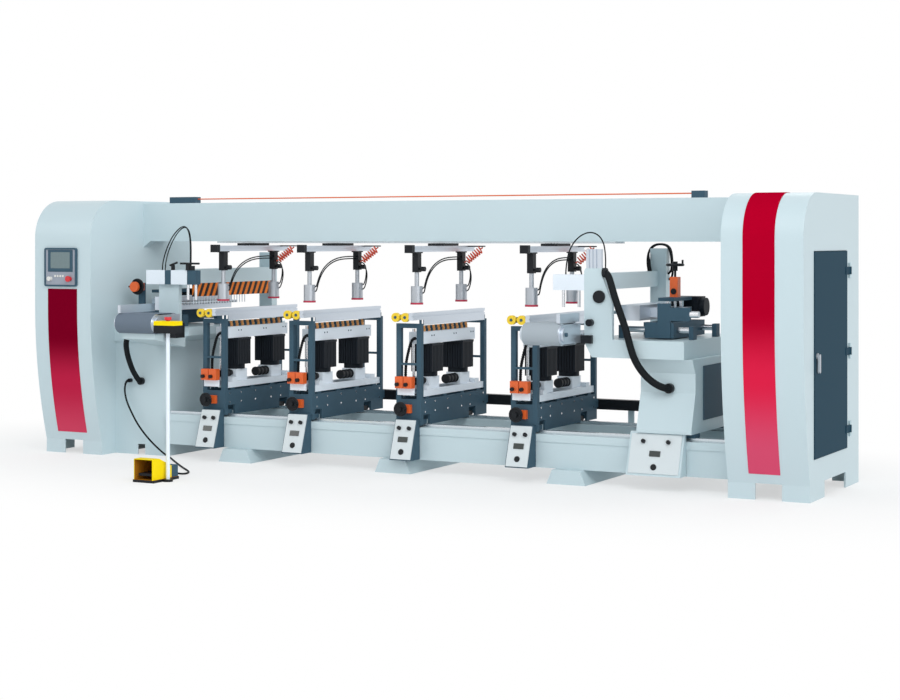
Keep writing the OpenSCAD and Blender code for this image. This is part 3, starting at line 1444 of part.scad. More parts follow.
module right_slide() {
    top = drill_z + yoke_rise + yoke_t;
    x = slide_x + slide_plate_x;
    x1 = x + slide_plate_w + slide_arm_l;
    y = -slide_w / 2 - slide_plate_t / 2;
    right_side() {
        color(slate) {
            hz_slide_base();
            block([x, y, hz_bar_z - slide_below],
                [x + slide_plate_w, y + slide_plate_t, drill_z + slide_plate_rise]);
            block([x, y, drill_z + slide_arm_rise[0]],
                [x1, y + slide_plate_t, drill_z + slide_arm_rise[1]]);
        }
        color(chrome) rod_x([x1 + seam, -slide_w / 2,
            drill_z + (slide_arm_rise[0] + slide_arm_rise[1]) / 2],
            slide_rod_d, slide_rod_l);
        color(orange) difference() {
            for (k = [0, 1]) translate([col_x - hz_counter_w / 2, -hz_counter_w / 2,
                top + seam + k * (hz_counter_h + seam)])
                cube([hz_counter_w, hz_counter_w, hz_counter_h]);
            rod_z([col_x, 0, top + hz_counter_h], hw_shaft_d + 2 * run_fit, 2 * hz_counter_h);
        }
    }
}

module right_handwheel() {
    z = drill_z + yoke_rise + yoke_t + 2 * hz_counter_h + hz_wheel_stand;
    color(black) right_side() translate([col_x, 0, z])
        wheel(hz_wheel_d, hz_wheel_rim, hz_wheel_rim, hw_hub_h,
            hz_wheel_stand - hw_hub_h / 2 + hz_counter_h / 2);
}

module right_head() { right_side() hz_head(); }
module right_hose() {
    color(black) {
        tube(right_hose_points, right_hose_d, hose_sides + 2);
        tube(right_loop_points, thin_hose_d, hose_sides);
    }
}

// Hoses, pedal and post
module base_hoses() {
    color(black) {
        tube(left_hose_points, left_hose_d, hose_sides + 2);
        tube(left_loop_points, thin_hose_d, hose_sides);
    }
    x = [for (k = [0, 1]) line_block_x_shares[k] * inner_x];
    color(orange) rod_x([x[0] + line_block_l[0] + seam, beam_y + beam_d / 2,
        beam_z1 + line_block_h * 2 / 3], line_d,
        x[1] - x[0] - line_block_l[0] - 2 * seam);
}

module pedal_cord() { color(black) tube(cord_points, cord_d, hose_sides); }

module pedal_station() {
    w = hood_w;
    translate([pedal_x, pedal_y, 0]) {
        color(black) block([-w / 2 - pedal_base_over, -hood_l / 2, 0],
            [w / 2 + pedal_base_over, hood_l / 2 + pedal_rear_l, pedal_base_h]);
        color(yellow) difference() {
            translate([-w / 2, 0, 0]) along_x(w)
                polygon([[-hood_l / 2, pedal_base_h + seam], [hood_l / 2, pedal_base_h + seam],
                [hood_l / 2, pedal_rear_h], [hood_nose_share * hood_l - hood_l / 2, hood_h],
                    [-hood_l / 2, hood_h]]);
            translate([hood_wall - w / 2, 0, 0]) along_x(w - 2 * hood_wall)
                polygon([[-hood_l, 0], [hood_l / 2 - hood_wall, 0],
                [hood_l / 2 - hood_wall, pedal_rear_h - hood_wall],
                    [hood_nose_share * hood_l - hood_l / 2, hood_h - hood_wall],
                    [-hood_l, hood_h - hood_wall]]);
        }
        color(slate) block([-w / 2, hood_l / 2 + seam, pedal_base_h + seam],
            [w / 2, hood_l / 2 + pedal_rear_l, pedal_rear_h]);
        color(yellow) rod_x([-w / 2, treadle_y, treadle_z], treadle_pin_d, w);
        translate([post_x, post_y, 0]) {
            color(black) rod_z([0, 0, 0], post_foot_d, post_foot_h);
            color(pale) rod_z([0, 0, post_foot_h + seam], post_d, post_box_z - post_foot_h - 2 * seam);
            color(black) block([-post_box_w / 2, -post_box_d / 2, post_box_z],
                [post_box_w / 2, post_box_d / 2, post_box_z + post_box_h]);
            color(yellow) difference() {
                block([-post_box_w / 2, -post_box_d / 2, post_box_z + post_box_h + seam],
                    [post_box_w / 2, post_box_d / 2, post_box_z + post_box_h + post_cap_h]);
                rod_z([0, 0, post_box_z + post_box_h], mush_stem_d + 2 * gap, post_cap_h + cut);
            }
        }
    }
}

module pedal_treadle() {
    color(black) translate([pedal_x, pedal_y, 0]) difference() {
        union() {
            block([-treadle_w / 2, treadle_y - treadle_l, treadle_z - treadle_t / 2],
                [treadle_w / 2, treadle_y, treadle_z + treadle_t / 2]);
            rod_x([-treadle_w / 2, treadle_y, treadle_z], treadle_bush_d, treadle_w);
        }
        rod_x([-hood_w / 2, treadle_y, treadle_z], treadle_pin_d + 2 * run_fit, hood_w);
    }
}

module pole_stop_button() {
    z = post_box_z + post_box_h;
    color(red) translate([pedal_x + post_x, pedal_y + post_y, 0]) {
        rod_z([0, 0, z + mush_press + gap], mush_stem_d, post_cap_h + mush_press);
        rod_z([0, 0, z + post_cap_h + mush_press + gap], mush_d, mush_h);
    }
}

left_cabinet();
right_cabinet();
stripe_panels();
operator_panel();
top_beam();
guide_rails();
bed_frame();
left_pedestal();
left_conveyor();
left_guard();
base_hoses();
pedal_station();
pedal_cord();
cabinet_door();
door_latch();
start_button();
stop_button();
pedal_treadle();
pole_stop_button();
for (i = [0:3]) {
    unit_frame(i);
    unit_table(i);
    boring_head(i);
    head_motors(i);
    unit_handwheel(i);
    clamp_bar(i);
    clamp_feet(i);
    air_hoses(i);
}
left_slide();
left_head();
left_handwheel();
right_column();
right_conveyor();
right_slide();
right_head();
right_handwheel();
right_hose();
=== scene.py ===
"""Looks of the line boring machine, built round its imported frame.

Metres, +X along the machine, +Y to the rear, +Z up.
"""

import math

import bpy
from mathutils import Matrix, Vector


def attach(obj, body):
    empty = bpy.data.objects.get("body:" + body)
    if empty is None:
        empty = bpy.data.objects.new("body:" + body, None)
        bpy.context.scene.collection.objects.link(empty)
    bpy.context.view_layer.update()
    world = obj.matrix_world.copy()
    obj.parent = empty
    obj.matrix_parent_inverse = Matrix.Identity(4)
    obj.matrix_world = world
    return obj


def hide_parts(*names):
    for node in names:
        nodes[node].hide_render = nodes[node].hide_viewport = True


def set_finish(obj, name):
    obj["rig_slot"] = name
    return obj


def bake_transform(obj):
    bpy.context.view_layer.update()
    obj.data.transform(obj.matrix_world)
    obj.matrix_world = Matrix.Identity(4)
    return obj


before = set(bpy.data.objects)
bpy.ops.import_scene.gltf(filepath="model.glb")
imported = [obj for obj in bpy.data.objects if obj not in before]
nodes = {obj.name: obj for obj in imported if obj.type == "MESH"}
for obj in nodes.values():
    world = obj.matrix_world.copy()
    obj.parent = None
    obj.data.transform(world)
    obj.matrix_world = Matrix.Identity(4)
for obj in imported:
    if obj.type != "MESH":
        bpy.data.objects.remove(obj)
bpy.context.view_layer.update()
scene = bpy.context.scene

# Places and sizes repeated from the frame's source
LEFT_FACE = -1.6
UNIT_RUN = 2.608
UNIT_X = [LEFT_FACE + share * UNIT_RUN for share in (0.090, 0.346, 0.647, 0.949)]
HEAD_Y = 0.072
PITCH = 0.032
FOOT_YS = (-0.2744, 0.3304)
CLAMP_RAIL_TOP = 1.402
PORT_X = 0.04325
PORT_Z = 1.140
PORT_STEP = 0.030
BRACKET_Z = 1.239
BRACKET_H = 0.126
BRACKET_SIDE = 0.020
BRACKET_HALF = 0.02325
WHEEL_Y = -0.436
ARM_T = 0.008
SEAM = 0.00025

# Camera fitted to the photo
CAMERA_PLACE = (5.567, -10.3202, 1.45)
CAMERA_YAW = 0.4813


def placed(name, data):
    """New object of the scene."""
    o = bpy.data.objects.new(name, data)
    scene.collection.objects.link(o)
    return o


cam_data = bpy.data.cameras.new("camera")
cam = placed("camera", cam_data)
cam_data.sensor_fit = "HORIZONTAL"
cam_data.sensor_width = 36
cam_data.lens = 73.49
cam_data.shift_y = -0.1241
cam_data.clip_end = 200
cam.location = CAMERA_PLACE
cam.rotation_euler = (math.pi / 2, 0, CAMERA_YAW)
scene.camera = cam


# Shader nodes
def link(tree, a, b):
    tree.links.new(a, b)


def add(tree, kind, values=(), **settings):
    """New node with its settings and the values of its sockets."""
    n = tree.nodes.new(kind)
    for key, value in settings.items():
        setattr(n, key, value)
    for socket, value in dict(values).items():
        n.inputs[socket].default_value = value
    return n


def calc(tree, operation, *terms):
    """Output of a math node whose terms are numbers or sockets."""
    n = add(tree, "ShaderNodeMath", operation=operation)
    for k, term in enumerate(terms):
        if isinstance(term, (int, float)):
            n.inputs[k].default_value = term
        else:
            link(tree, term, n.inputs[k])
    return n.outputs[0]


def object_place(tree):
    return add(tree, "ShaderNodeTexCoord").outputs["Object"]


def object_xyz(tree):
    split = add(tree, "ShaderNodeSeparateXYZ")
    link(tree, object_place(tree), split.inputs["Vector"])
    return split.outputs


def mixed(tree, factor, a, b):
    """Colour between a and b by a factor socket."""
    n = add(tree, "ShaderNodeMix", data_type="RGBA")
    n.inputs["A"].default_value = (*a, 1)
    n.inputs["B"].default_value = (*b, 1)
    link(tree, factor, n.inputs["Factor"])
    return n.outputs["Result"]


# Materials
COAT_ROUGH = 0.12
ROUGH_SPREAD = 0.15
NOISE_DETAIL = 4
RELIEF = 0.002


def material(name, color, rough, metal=0.0, grain=40.0, spread=0.04, bump=0.02, coat=0.0,
             stretch=(1, 1, 1), gloss=0.5):
    """Principled material with fine variation of colour and roughness and a slight relief."""
    m = bpy.data.materials.new(name)
    m.use_nodes = True
    t = m.node_tree
    p = t.nodes["Principled BSDF"]
    p.inputs["Metallic"].default_value = metal
    p.inputs["Specular IOR Level"].default_value = gloss
    p.inputs["Coat Weight"].default_value = coat
    p.inputs["Coat Roughness"].default_value = COAT_ROUGH
    size = add(t, "ShaderNodeMapping", {"Scale": stretch})
    link(t, object_place(t), size.inputs["Vector"])
    noise = add(t, "ShaderNodeTexNoise", {"Scale": grain, "Detail": NOISE_DETAIL})
    link(t, size.outputs["Vector"], noise.inputs["Vector"])
    fine = noise.outputs["Fac"]
    darker = [c * (1 - spread) for c in color]
    lighter = [min(1, c * (1 + spread)) for c in color]
    link(t, mixed(t, fine, darker, lighter), p.inputs["Base Color"])
    rougher = add(t, "ShaderNodeMapRange", {
        "To Min": rough * (1 - ROUGH_SPREAD), "To Max": min(1, rough * (1 + ROUGH_SPREAD))})
    link(t, fine, rougher.inputs["Value"])
    link(t, rougher.outputs["Result"], p.inputs["Roughness"])
    relief = add(t, "ShaderNodeBump", {"Strength": bump, "Distance": RELIEF})
    link(t, fine, relief.inputs["Height"])
    link(t, relief.outputs["Normal"], p.inputs["Normal"])
    return m


def striped(name, a, b, pitch, slope):
    """Diagonal two-colour stripes along Y, leaning by slope, on a painted plate."""
    m = material(name, a, rough=0.5, gloss=0.2)
    t = m.node_tree
    xyz = object_xyz(t)
    lean = calc(t, "MULTIPLY_ADD", xyz["Z"], -slope, xyz["Y"])
    part = calc(t, "FRACT", calc(t, "DIVIDE", lean, pitch))
    step = calc(t, "GREATER_THAN", part, 0.5)
    link(t, mixed(t, step, a, b), t.nodes["Principled BSDF"].inputs["Base Color"])
    return m


def graded(name, stops):
    """Plain paint that passes through the colours given at rising heights."""
    m = material(name, stops[0][1], rough=0.45, grain=60, bump=0.005, gloss=0.0)
    t = m.node_tree
    z0, z1 = stops[0][0], stops[-1][0]
    places = [(z - z0) / (z1 - z0) for z, _ in stops]
    rise = add(t, "ShaderNodeMapRange", {"From Min": z0, "From Max": z1})
    link(t, object_xyz(t)["Z"], rise.inputs["Value"])
    ramp = add(t, "ShaderNodeValToRGB")
    ramp.color_ramp.interpolation = "EASE"
    for place in places[1:-1]:
        ramp.color_ramp.elements.new(place)
    for element, place, (_, color) in zip(ramp.color_ramp.elements, places, stops):
        element.position = place
        element.color = (*color, 1)
    link(t, rise.outputs["Result"], ramp.inputs["Fac"])
    link(t, ramp.outputs["Color"], t.nodes["Principled BSDF"].inputs["Base Color"])
    return m


# Paints
PALE = material("pale_paint", (0.555, 0.675, 0.715), 0.42, grain=220, spread=0.025, bump=0.03, coat=0.15)
SLATE = material("slate_paint", (0.050, 0.100, 0.140), 0.52, grain=260, spread=0.08, bump=0.05, gloss=0.12)
DOOR = material("door_paint", (0.021, 0.058, 0.088), 0.5, grain=260, spread=0.06, bump=0.04, gloss=0.02)
WHITE = material("white_paint", (0.80, 0.87, 0.94), 0.40, grain=160, spread=0.05, bump=0.03)
MOTOR = material("motor_paint", (0.010, 0.014, 0.020), 0.55, grain=180, spread=0.2, bump=0.06, gloss=0.15)
YELLOW = material("yellow_paint", (0.86, 0.60, 0.02), 0.4, grain=200, spread=0.05, bump=0.03, coat=0.2)
HOOD = material("hood_yellow", (0.95, 0.72, 0.004), 0.45, grain=260, spread=0.05, bump=0.08, gloss=0.08)
# Darkened hood yellow: painted shade for the inside faces of the pedal's hood, not a paint of its own
HOOD_PAINTED_SHADE = material("hood_painted_shade", (0.42, 0.17, 0.012), 0.6, grain=260, spread=0.08, bump=0.08,
                       gloss=0.05)
STRIPE = graded("stripe_red", [
    (0.25, (0.68, 0.078, 0.160)), (0.67, (0.72, 0.017, 0.064)), (1.05, (0.44, 0.0005, 0.020))])
LEFT_STRIPE = graded("stripe_dark_red", [
    (0.10, (0.66, 0.066, 0.130)), (0.48, (0.52, 0.018, 0.062)), (0.80, (0.20, 0.0005, 0.015))])
GUARD = striped("guard_stripes", (0.85, 0.21, 0.02), (0.010, 0.008, 0.008), pitch=0.064, slope=0.55)

# Plastics, rubber and belts
BLACK = material("black_plastic", (0.010, 0.012, 0.015), 0.42, grain=300, spread=0.2, bump=0.06, gloss=0.2)
RUBBER = material("black_rubber", (0.008, 0.010, 0.012), 0.62, grain=240, spread=0.2, bump=0.05, gloss=0.12)
BELT = material("belt_blue_grey", (0.13, 0.17, 0.22), 0.7, grain=420, spread=0.15, bump=0.12)
PALE_BELT = material("belt_pale_grey", (0.36, 0.41, 0.45), 0.65, grain=420, spread=0.12, bump=0.12)
RED = material("red_plastic", (0.62, 0.012, 0.02), 0.3, grain=200, spread=0.06, bump=0.02, coat=0.3)
PAD = material("pad_red", (0.50, 0.03, 0.07), 0.6, grain=300, spread=0.1, bump=0.08)
HOSE_RED = material("hose_red", (0.90, 0.085, 0.025), 0.3, grain=120, spread=0.06, bump=0.02, coat=0.3)
ORANGE = material("orange_plastic", (0.78, 0.13, 0.025), 0.42, grain=200, spread=0.06, bump=0.03)
CHUCK = material("chuck_orange", (0.90, 0.40, 0.11), 0.35, grain=200, spread=0.08, bump=0.02, coat=0.2)
SCREEN = material("screen", (0.020, 0.030, 0.028), 0.12, grain=120, spread=0.1, bump=0.004, coat=0.5)
DISPLAY = material("display", (0.15, 0.21, 0.22), 0.2, grain=120, spread=0.1, bump=0.004, coat=0.2)
PLATE = material("panel_grey", (0.33, 0.36, 0.42), 0.45, grain=260, spread=0.03, bump=0.02, gloss=0.2)
PANEL = material("panel_white", (0.66, 0.72, 0.74), 0.38, grain=260, spread=0.03, bump=0.02)
KEY = material("key_white", (0.74, 0.74, 0.70), 0.4, grain=260, spread=0.04, bump=0.02)

# Metals, whose grain is drawn out along the axes with the smaller factor
ALU = material("machined_alu", (0.60, 0.66, 0.73), 0.34, 0.85, grain=60, spread=0.06, bump=0.03,
               stretch=(1, 12, 12))
BRIGHT = material("bright_steel", (0.72, 0.74, 0.77), 0.2, 1.0, grain=90, spread=0.05, bump=0.01,
                  stretch=(12, 12, 1))
RAIL = material("ground_rail", (0.62, 0.68, 0.72), 0.26, 0.9, grain=70, spread=0.06, bump=0.02,
                stretch=(1, 14, 14))
CYLINDER = material("cylinder_alu", (0.46, 0.49, 0.53), 0.34, 0.6, grain=90, spread=0.05, bump=0.02,
                    stretch=(1, 1, 12))


# Painting CAD nodes: every separate solid of a node gets a material by its size and place
def near(value, target, tol=0.0012):
    return abs(value - target) <= tol


def sized(mat, x=None, y=None, z=None, where=None):
    """Rule that gives mat to solids with the given box sizes that pass a test of size and centre."""
    def test(size, centre):
        fits = all(want is None or near(have, want) for have, want in zip(size, (x, y, z)))
        return fits and (where is None or where(size, centre))

    return test, mat


def solids(mesh):
    """Polygon lists of the mesh's separate solids, with the corners of each solid's box."""
    ids = {}
    vert = []
    for v in mesh.vertices:
        k = (round(v.co.x, 5), round(v.co.y, 5), round(v.co.z, 5))
        vert.append(ids.setdefault(k, len(ids)))
    parent = list(range(len(ids)))

    def root(i):
        while parent[i] != i:
            parent[i] = parent[parent[i]]
            i = parent[i]
        return i

    for poly in mesh.polygons:
        first = root(vert[poly.vertices[0]])
        for i in poly.vertices[1:]:
            parent[root(vert[i])] = first
    groups = {}
    for poly in mesh.polygons:
        groups.setdefault(root(vert[poly.vertices[0]]), []).append(poly.index)
    out = []
    for polys in groups.values():
        pts = [mesh.vertices[i].co for k in polys for i in mesh.polygons[k].vertices]
        lo = Vector([min(p[a] for p in pts) for a in range(3)])
        hi = Vector([max(p[a] for p in pts) for a in range(3)])
        out.append((polys, lo, hi))
    return out


def paint(name, default, rules=()):
    """default on the whole node, then for each solid the material of the first rule that holds."""
    mesh = nodes[name].data
    mesh.materials.clear()
    mesh.materials.append(default)
    used = {default.name: 0}
    for polys, lo, hi in solids(mesh) if rules else ():
        chosen = next((m for test, m in rules if test(hi - lo, (hi + lo) / 2)), default)
        if chosen.name not in used:
            used[chosen.name] = len(mesh.materials)
            mesh.materials.append(chosen)
        for k in polys:
            mesh.polygons[k].material_index = used[chosen.name]


def paint_faces(name, mat, test):
    """mat on those faces of the node whose centre and normal pass the test."""
    mesh = nodes[name].data
    mesh.materials.append(mat)
    for poly in mesh.polygons:
        if test(poly.center, poly.normal):
            poly.material_index = len(mesh.materials) - 1


# Limits of size and place that tell solids apart
LONG = 0.6
TALL = 0.3
WIDE = 2
FLAT = 0.02
BEAM_BLOCKS_Z = 1.695
COUNTERS_Y = -0.38
CONTROL_Y = -0.385
PANEL_BELOW = 0.36
PARTS_BELOW = 0.34
BRIDGE_DEPTH = 0.1
BRIDGE_END_X = -1.57
BRIDGE_DARK_X = (-1.75, -1.69)


def is_long(size, centre):
    return size.y > LONG


def on_panel(size, centre):
    return centre.y < CONTROL_Y and centre.z < PANEL_BELOW


def on_panel_front(size, centre):
    return centre.y < CONTROL_Y and centre.z < PARTS_BELOW


def in_bridge(size, centre):
    return size.y < BRIDGE_DEPTH


def dark_in_bridge(size, centre):
    dark = centre.x > BRIDGE_END_X or BRIDGE_DARK_X[0] < centre.x < BRIDGE_DARK_X[1]
    return in_bridge(size, centre) and dark


def even_chuck(size, centre):
    return round((centre.y - HEAD_Y) / PITCH) % 2 == 0


# Control boxes: panel of a unit's box and of the right box, knobs, display, dial
CONTROL = [
    sized(PANEL, x=0.13984, where=on_panel),
    sized(PANEL, x=0.30636, where=on_panel),
    sized(BLACK, x=0.024, where=on_panel_front),
    sized(SCREEN, x=0.06688, where=on_panel_front),
    sized(BLACK, x=0.036, where=on_panel_front),
]
# Horizontal units: feed bars, their end blocks, hold-down rods
HZ_FRAME = [
    sized(BRIGHT, x=0.4095, y=0.035),
    sized(SLATE, x=0.028, y=0.060),
    sized(BRIGHT, x=0.018, y=0.018),
]
# Feed slides: columns, screw, right counters, left counter, rod
SLIDE = [
    sized(BRIGHT, x=0.030, y=0.030),
    sized(BRIGHT, x=0.016, y=0.016),
    sized(ORANGE, x=0.050, y=0.050),
    sized(ORANGE, x=0.050, z=0.050),
    sized(BRIGHT, y=0.038, z=0.038),
]
# Horizontal heads: chucks, motor
HZ_HEAD = [
    sized(BRIGHT, x=0.068, y=0.025),
    sized(MOTOR, y=0.122),
]
# Conveyors: left belt, right belt, drums, axle ends, left gearbox, right gearbox, left bracket
CONVEYOR = [
    sized(BELT, y=0.310, z=0.130, where=lambda s, c: c.x < 0),
    sized(PALE_BELT, y=0.310, z=0.130),
    sized(BRIGHT, y=0.124, z=0.124),
    sized(SLATE, y=0.024, z=0.024),
    sized(BLACK, x=0.086, z=0.096),
    sized(BLACK, z=0.048),
    sized(PALE, x=0.259),
]
# Vertical units: bars, lift blocks, guide blocks, plate, rods, counters, wheel block, knobs, rail shoes
UNIT_FRAME = [
    sized(WHITE, z=0.040, where=is_long),
    sized(WHITE, x=0.104),
    sized(WHITE, x=0.159),
    sized(WHITE, z=0.04375, where=lambda s, c: c.y < COUNTERS_Y),
    sized(BRIGHT, x=0.020, where=lambda s, c: s.z > TALL),
    sized(ORANGE, x=0.056, z=0.072),
    sized(ORANGE, x=0.066, z=0.052),
    sized(BLACK, x=0.024, y=0.018),
    sized(BLACK, y=0.076, z=0.026),
]
# Right column: rail shoes, side cover, control box, block on the front plate, cap, knob, clamp block
RIGHT_COLUMN = [
    sized(SLATE, y=0.076, z=0.026),
    sized(SLATE, x=0.00375),
    sized(SLATE, x=0.333),
    sized(ALU, z=0.11175),
    sized(BLACK, x=0.074, y=0.012),
    sized(BLACK, x=0.042, y=0.034),
    sized(WHITE, y=0.080, z=0.092),
]
# Left pedestal: gland of the cord, dark and pale pieces of the bridge
LEFT_PEDESTAL = [
    sized(BLACK, x=0.026, y=0.024),
    sized(SLATE, z=0.094, where=dark_in_bridge),
    sized(WHITE, z=0.094, where=in_bridge),
]
# Pedal station: base, rear block, foot of the post, post, box on the post
PEDAL_STATION = [
    sized(BLACK, z=0.016),
    sized(SLATE, y=0.06375),
    sized(BLACK, x=0.060),
    sized(WHITE, x=0.024),
    sized(BLACK, z=0.046),
]

PLAIN = {
    "left_cabinet": PALE, "guide_rails": RAIL, "cabinet_door": DOOR, "door_latch": CYLINDER,
    "start_button": KEY, "stop_button": RED, "pedal_treadle": BLACK, "pole_stop_button": RED,
    "right_handwheel": BLACK,
}
for name, mat in PLAIN.items():
    paint(name, mat)
# Odd solids: mounting plate, modules, left stripe, display, keys, beam blocks, trunking, fingers, dial
paint("right_cabinet", PALE, [sized(ALU, x=0.003), sized(BLACK, x=0.095)])
paint("stripe_panels", STRIPE, [sized(LEFT_STRIPE, where=lambda s, c: c.x < 0)])
paint("operator_panel", SLATE, [sized(DISPLAY, x=0.162), sized(KEY, x=0.014)])
paint("top_beam", PALE, [sized(SLATE, where=lambda s, c: c.z > BEAM_BLOCKS_Z)])
paint("bed_frame", PALE, [sized(BLACK, z=0.065, where=lambda s, c: s.x > WIDE)])
paint("left_pedestal", PALE, HZ_FRAME + LEFT_PEDESTAL)
paint("right_column", PALE, HZ_FRAME + CONTROL + RIGHT_COLUMN)
paint("left_guard", GUARD, [sized(ALU, x=0.006, y=0.006)])
paint("pedal_station", HOOD, PEDAL_STATION)
paint("left_handwheel", BLACK, [sized(ORANGE, x=0.068, y=0.020)])
for end in ("left", "right"):
    paint(f"{end}_conveyor", ALU, CONVEYOR)
    paint(f"{end}_slide", SLATE, SLIDE)
    paint(f"{end}_head", ALU, HZ_HEAD)
# Odd solids of units and clamps: table bar, rollers, chucks by turns, clamp rail, pads
for i in range(1, len(UNIT_X) + 1):
    paint(f"unit_frame_{i}", SLATE, CONTROL + UNIT_FRAME)
    paint(f"unit_table_{i}", SLATE, [sized(ALU, where=is_long), sized(YELLOW, x=0.056, z=0.056)])
    paint(f"boring_head_{i}", WHITE, [sized(CHUCK, x=0.025, where=even_chuck), sized(SLATE, x=0.025)])
    paint(f"head_motors_{i}", MOTOR)
    paint(f"unit_handwheel_{i}", BLACK)
    paint(f"clamp_bar_{i}", BLACK, [sized(ALU, where=is_long)])
    paint(f"clamp_feet_{i}", CYLINDER, [sized(PAD, where=lambda s, c: s.z < FLAT)])

# Recessed plate of the operator panel, and painted shade on the inside faces of the pedal's yellow hood
PANEL_PLATE_Y = -0.63225
PANEL_PLATE_TOL = 0.0002
FACING = 0.9
HOOD_CENTRE = Vector((-1.090, -1.410, 0.078))
HOOD_HALF = Vector((0.069, 0.096, 0.063))


def on_plate(centre, normal):
    return normal.y < -FACING and near(centre.y, PANEL_PLATE_Y, PANEL_PLATE_TOL)


# Inward-facing faces within the hood's box, which get the painted shade
def painted_shade_in_hood(centre, normal):
    out = centre - HOOD_CENTRE
    return out.dot(normal) < 0 and all(abs(v) <= h for v, h in zip(out, HOOD_HALF))


paint_faces("operator_panel", PLATE, on_plate)
paint_faces("pedal_station", HOOD_PAINTED_SHADE, painted_shade_in_hood)


# Cord and hoses as smooth curves
def curve_piece(name, points, diameter, mat, body=None, slot="black_rubber", order=4, sides=6):
    """Smooth tube along points, as a curve of one open spline."""
    data = bpy.data.curves.new(name, "CURVE")
    data.dimensions = "3D"
    data.bevel_depth = diameter / 2
    data.bevel_resolution = sides
    data.use_fill_caps = True
    s = data.splines.new("NURBS")
    s.points.add(len(points) - 1)
    for p, q in zip(s.points, points):
        p.co = (*q, 1)
    s.order_u = order
    s.use_endpoint_u = True
    s.resolution_u = 6
    data.materials.append(mat)
    o = placed(name, data)
    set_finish(o, slot)
    if body:
        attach(o, body)
    return o


def mm(points):
    return [tuple(v / 1000 for v in p) for p in points]


def to_mesh(o):
    """The curve as a mesh object of the same name."""
    dg = bpy.context.evaluated_depsgraph_get()
    mesh = bpy.data.meshes.new_from_object(o.evaluated_get(dg))
    name, piece_slot = o.name, o["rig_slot"]
    bpy.data.objects.remove(o)
    n = placed(name, mesh)
    for poly in mesh.polygons:
        poly.use_smooth = True
    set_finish(n, piece_slot)
    return n


CORD = mm([
    (-2062, -374.5, 495), (-2062, -384, 495), (-2066, -394, 488), (-2074, -399, 468), (-2080, -400, 430),
    (-2064, -400, 360), (-2028, -400, 296), (-1978, -400, 216), (-1922, -400, 154), (-1852, -400, 90),
    (-1784, -402, 44), (-1745, -406, 20), (-1700, -420, 8), (-1640, -478, 7), (-1570, -552, 7),
    (-1498, -627, 7), (-1410, -716, 7), (-1322, -805, 7), (-1250, -874, 7), (-1180, -940, 7),
    (-1120, -1000, 7), (-1085, -1060, 7), (-1080, -1120, 9), (-1086, -1180, 20), (-1090, -1218, 33),
    (-1090, -1236, 36), (-1090, -1250.6, 36)])
cord = curve_piece("pedal_flex", CORD, 0.012, RUBBER, "base")
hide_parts("pedal_cord")

left_hose = curve_piece("left_hose", mm([
    (-1864.9, -600, 806), (-1878.9, -600, 806), (-1894, -600, 801), (-1905, -599, 788), (-1912, -598, 770),
    (-1916, -595, 745), (-1920, -583, 715), (-1925, -568, 682), (-1930, -545, 645), (-1938, -515, 607),
    (-1950, -478, 571), (-1962, -435, 538), (-1969, -398, 508), (-1972, -376, 495), (-1972, -364.4, 493),
    (-1972, -350.4, 493)]), 0.036, RUBBER, "base")
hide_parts("base_hoses")
curve_piece("left_loop", mm([
    (-1787, -372, 1239.4), (-1787, -372, 1268), (-1779, -372, 1310), (-1753, -372, 1380),
    (-1713, -372, 1455), (-1659, -372, 1512), (-1609, -372, 1536), (-1577, -372, 1510),
    (-1563, -372, 1450), (-1559, -372, 1370), (-1561, -372, 1300), (-1561, -372, 1239.4)]),
    0.008, RUBBER, "base")
curve_piece("left_loop_second", mm([
    (-1763, -372, 1239.4), (-1763, -372, 1268), (-1756, -372, 1310), (-1735, -370, 1376),
    (-1698, -367, 1450), (-1652, -364, 1506), (-1609, -363, 1530), (-1577, -363, 1506),
    (-1563, -363, 1450), (-1559, -363, 1370), (-1561, -363, 1300), (-1561, -363, 1239.4)]),
    0.007, RUBBER, "base")
curve_piece("orange_line", mm([
    (-1819.5, 80, 1719.3), (-600, 80, 1719.3), (600, 80, 1719.3), (1773.7, 80, 1719.3)]),
    0.008, ORANGE, "base", slot="guard_orange")
right_hose = curve_piece("right_hose_smooth", mm([
    (1400.4, -412, 1250), (1414.4, -412, 1250), (1434, -420, 1236), (1450, -430, 1206), (1470, -442, 1155),
    (1498, -454, 1085), (1530, -463, 1010), (1562, -466, 930), (1584, -466, 850), (1604, -462, 775),
    (1632, -446, 710), (1676, -428, 650), (1726, -418, 612), (1760, -408, 596), (1780, -394, 588),
    (1789, -376, 586), (1790, -364.4, 586), (1790, -350.4, 586)]), 0.042, RUBBER, "right_unit")
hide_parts("right_hose")
curve_piece("right_loop", mm([
    (1150, -385, 1237.4), (1150, -385, 1262), (1156, -386, 1310), (1170, -390, 1370), (1206, -396, 1430),
    (1258, -402, 1472), (1318, -408, 1490), (1372, -412, 1472), (1406, -413, 1424), (1414, -413, 1360),
    (1416, -412, 1310), (1414.4, -412, 1287), (1414.4, -412, 1273.2)]), 0.008, RUBBER, "right_unit")

# Spiral hose of a clamp: a coil on a slanting axis, from under the rail's arm to the rear bracket's side
TILT = math.radians(39)
TURN = math.radians(215)
RUN = 0.155
COIL_R = 0.022
COIL_L = 0.119
COILS = 7
STEPS = 16
TUBE = 0.009
way = Vector((math.cos(TILT) * math.cos(TURN), math.cos(TILT) * math.sin(TURN), -math.sin(TILT)))
clear = TUBE / 2 * math.sqrt(1 - way.x ** 2) + SEAM
spiral_end = Vector((BRACKET_SIDE + clear, FOOT_YS[1],
                     CLAMP_RAIL_TOP - ARM_T - clear - RUN * math.sin(TILT)))
spiral_start = spiral_end - RUN * way
spiral_frame = (Matrix.Translation(spiral_start) @ Matrix.Rotation(TURN, 4, "Z")
                @ Matrix.Rotation(TILT, 4, "Y") @ Matrix.Translation((2 * TUBE, COIL_R, 0)))
coil = [Vector((-2 * TUBE, -COIL_R, 0)), Vector((-TUBE, -COIL_R, 0))]
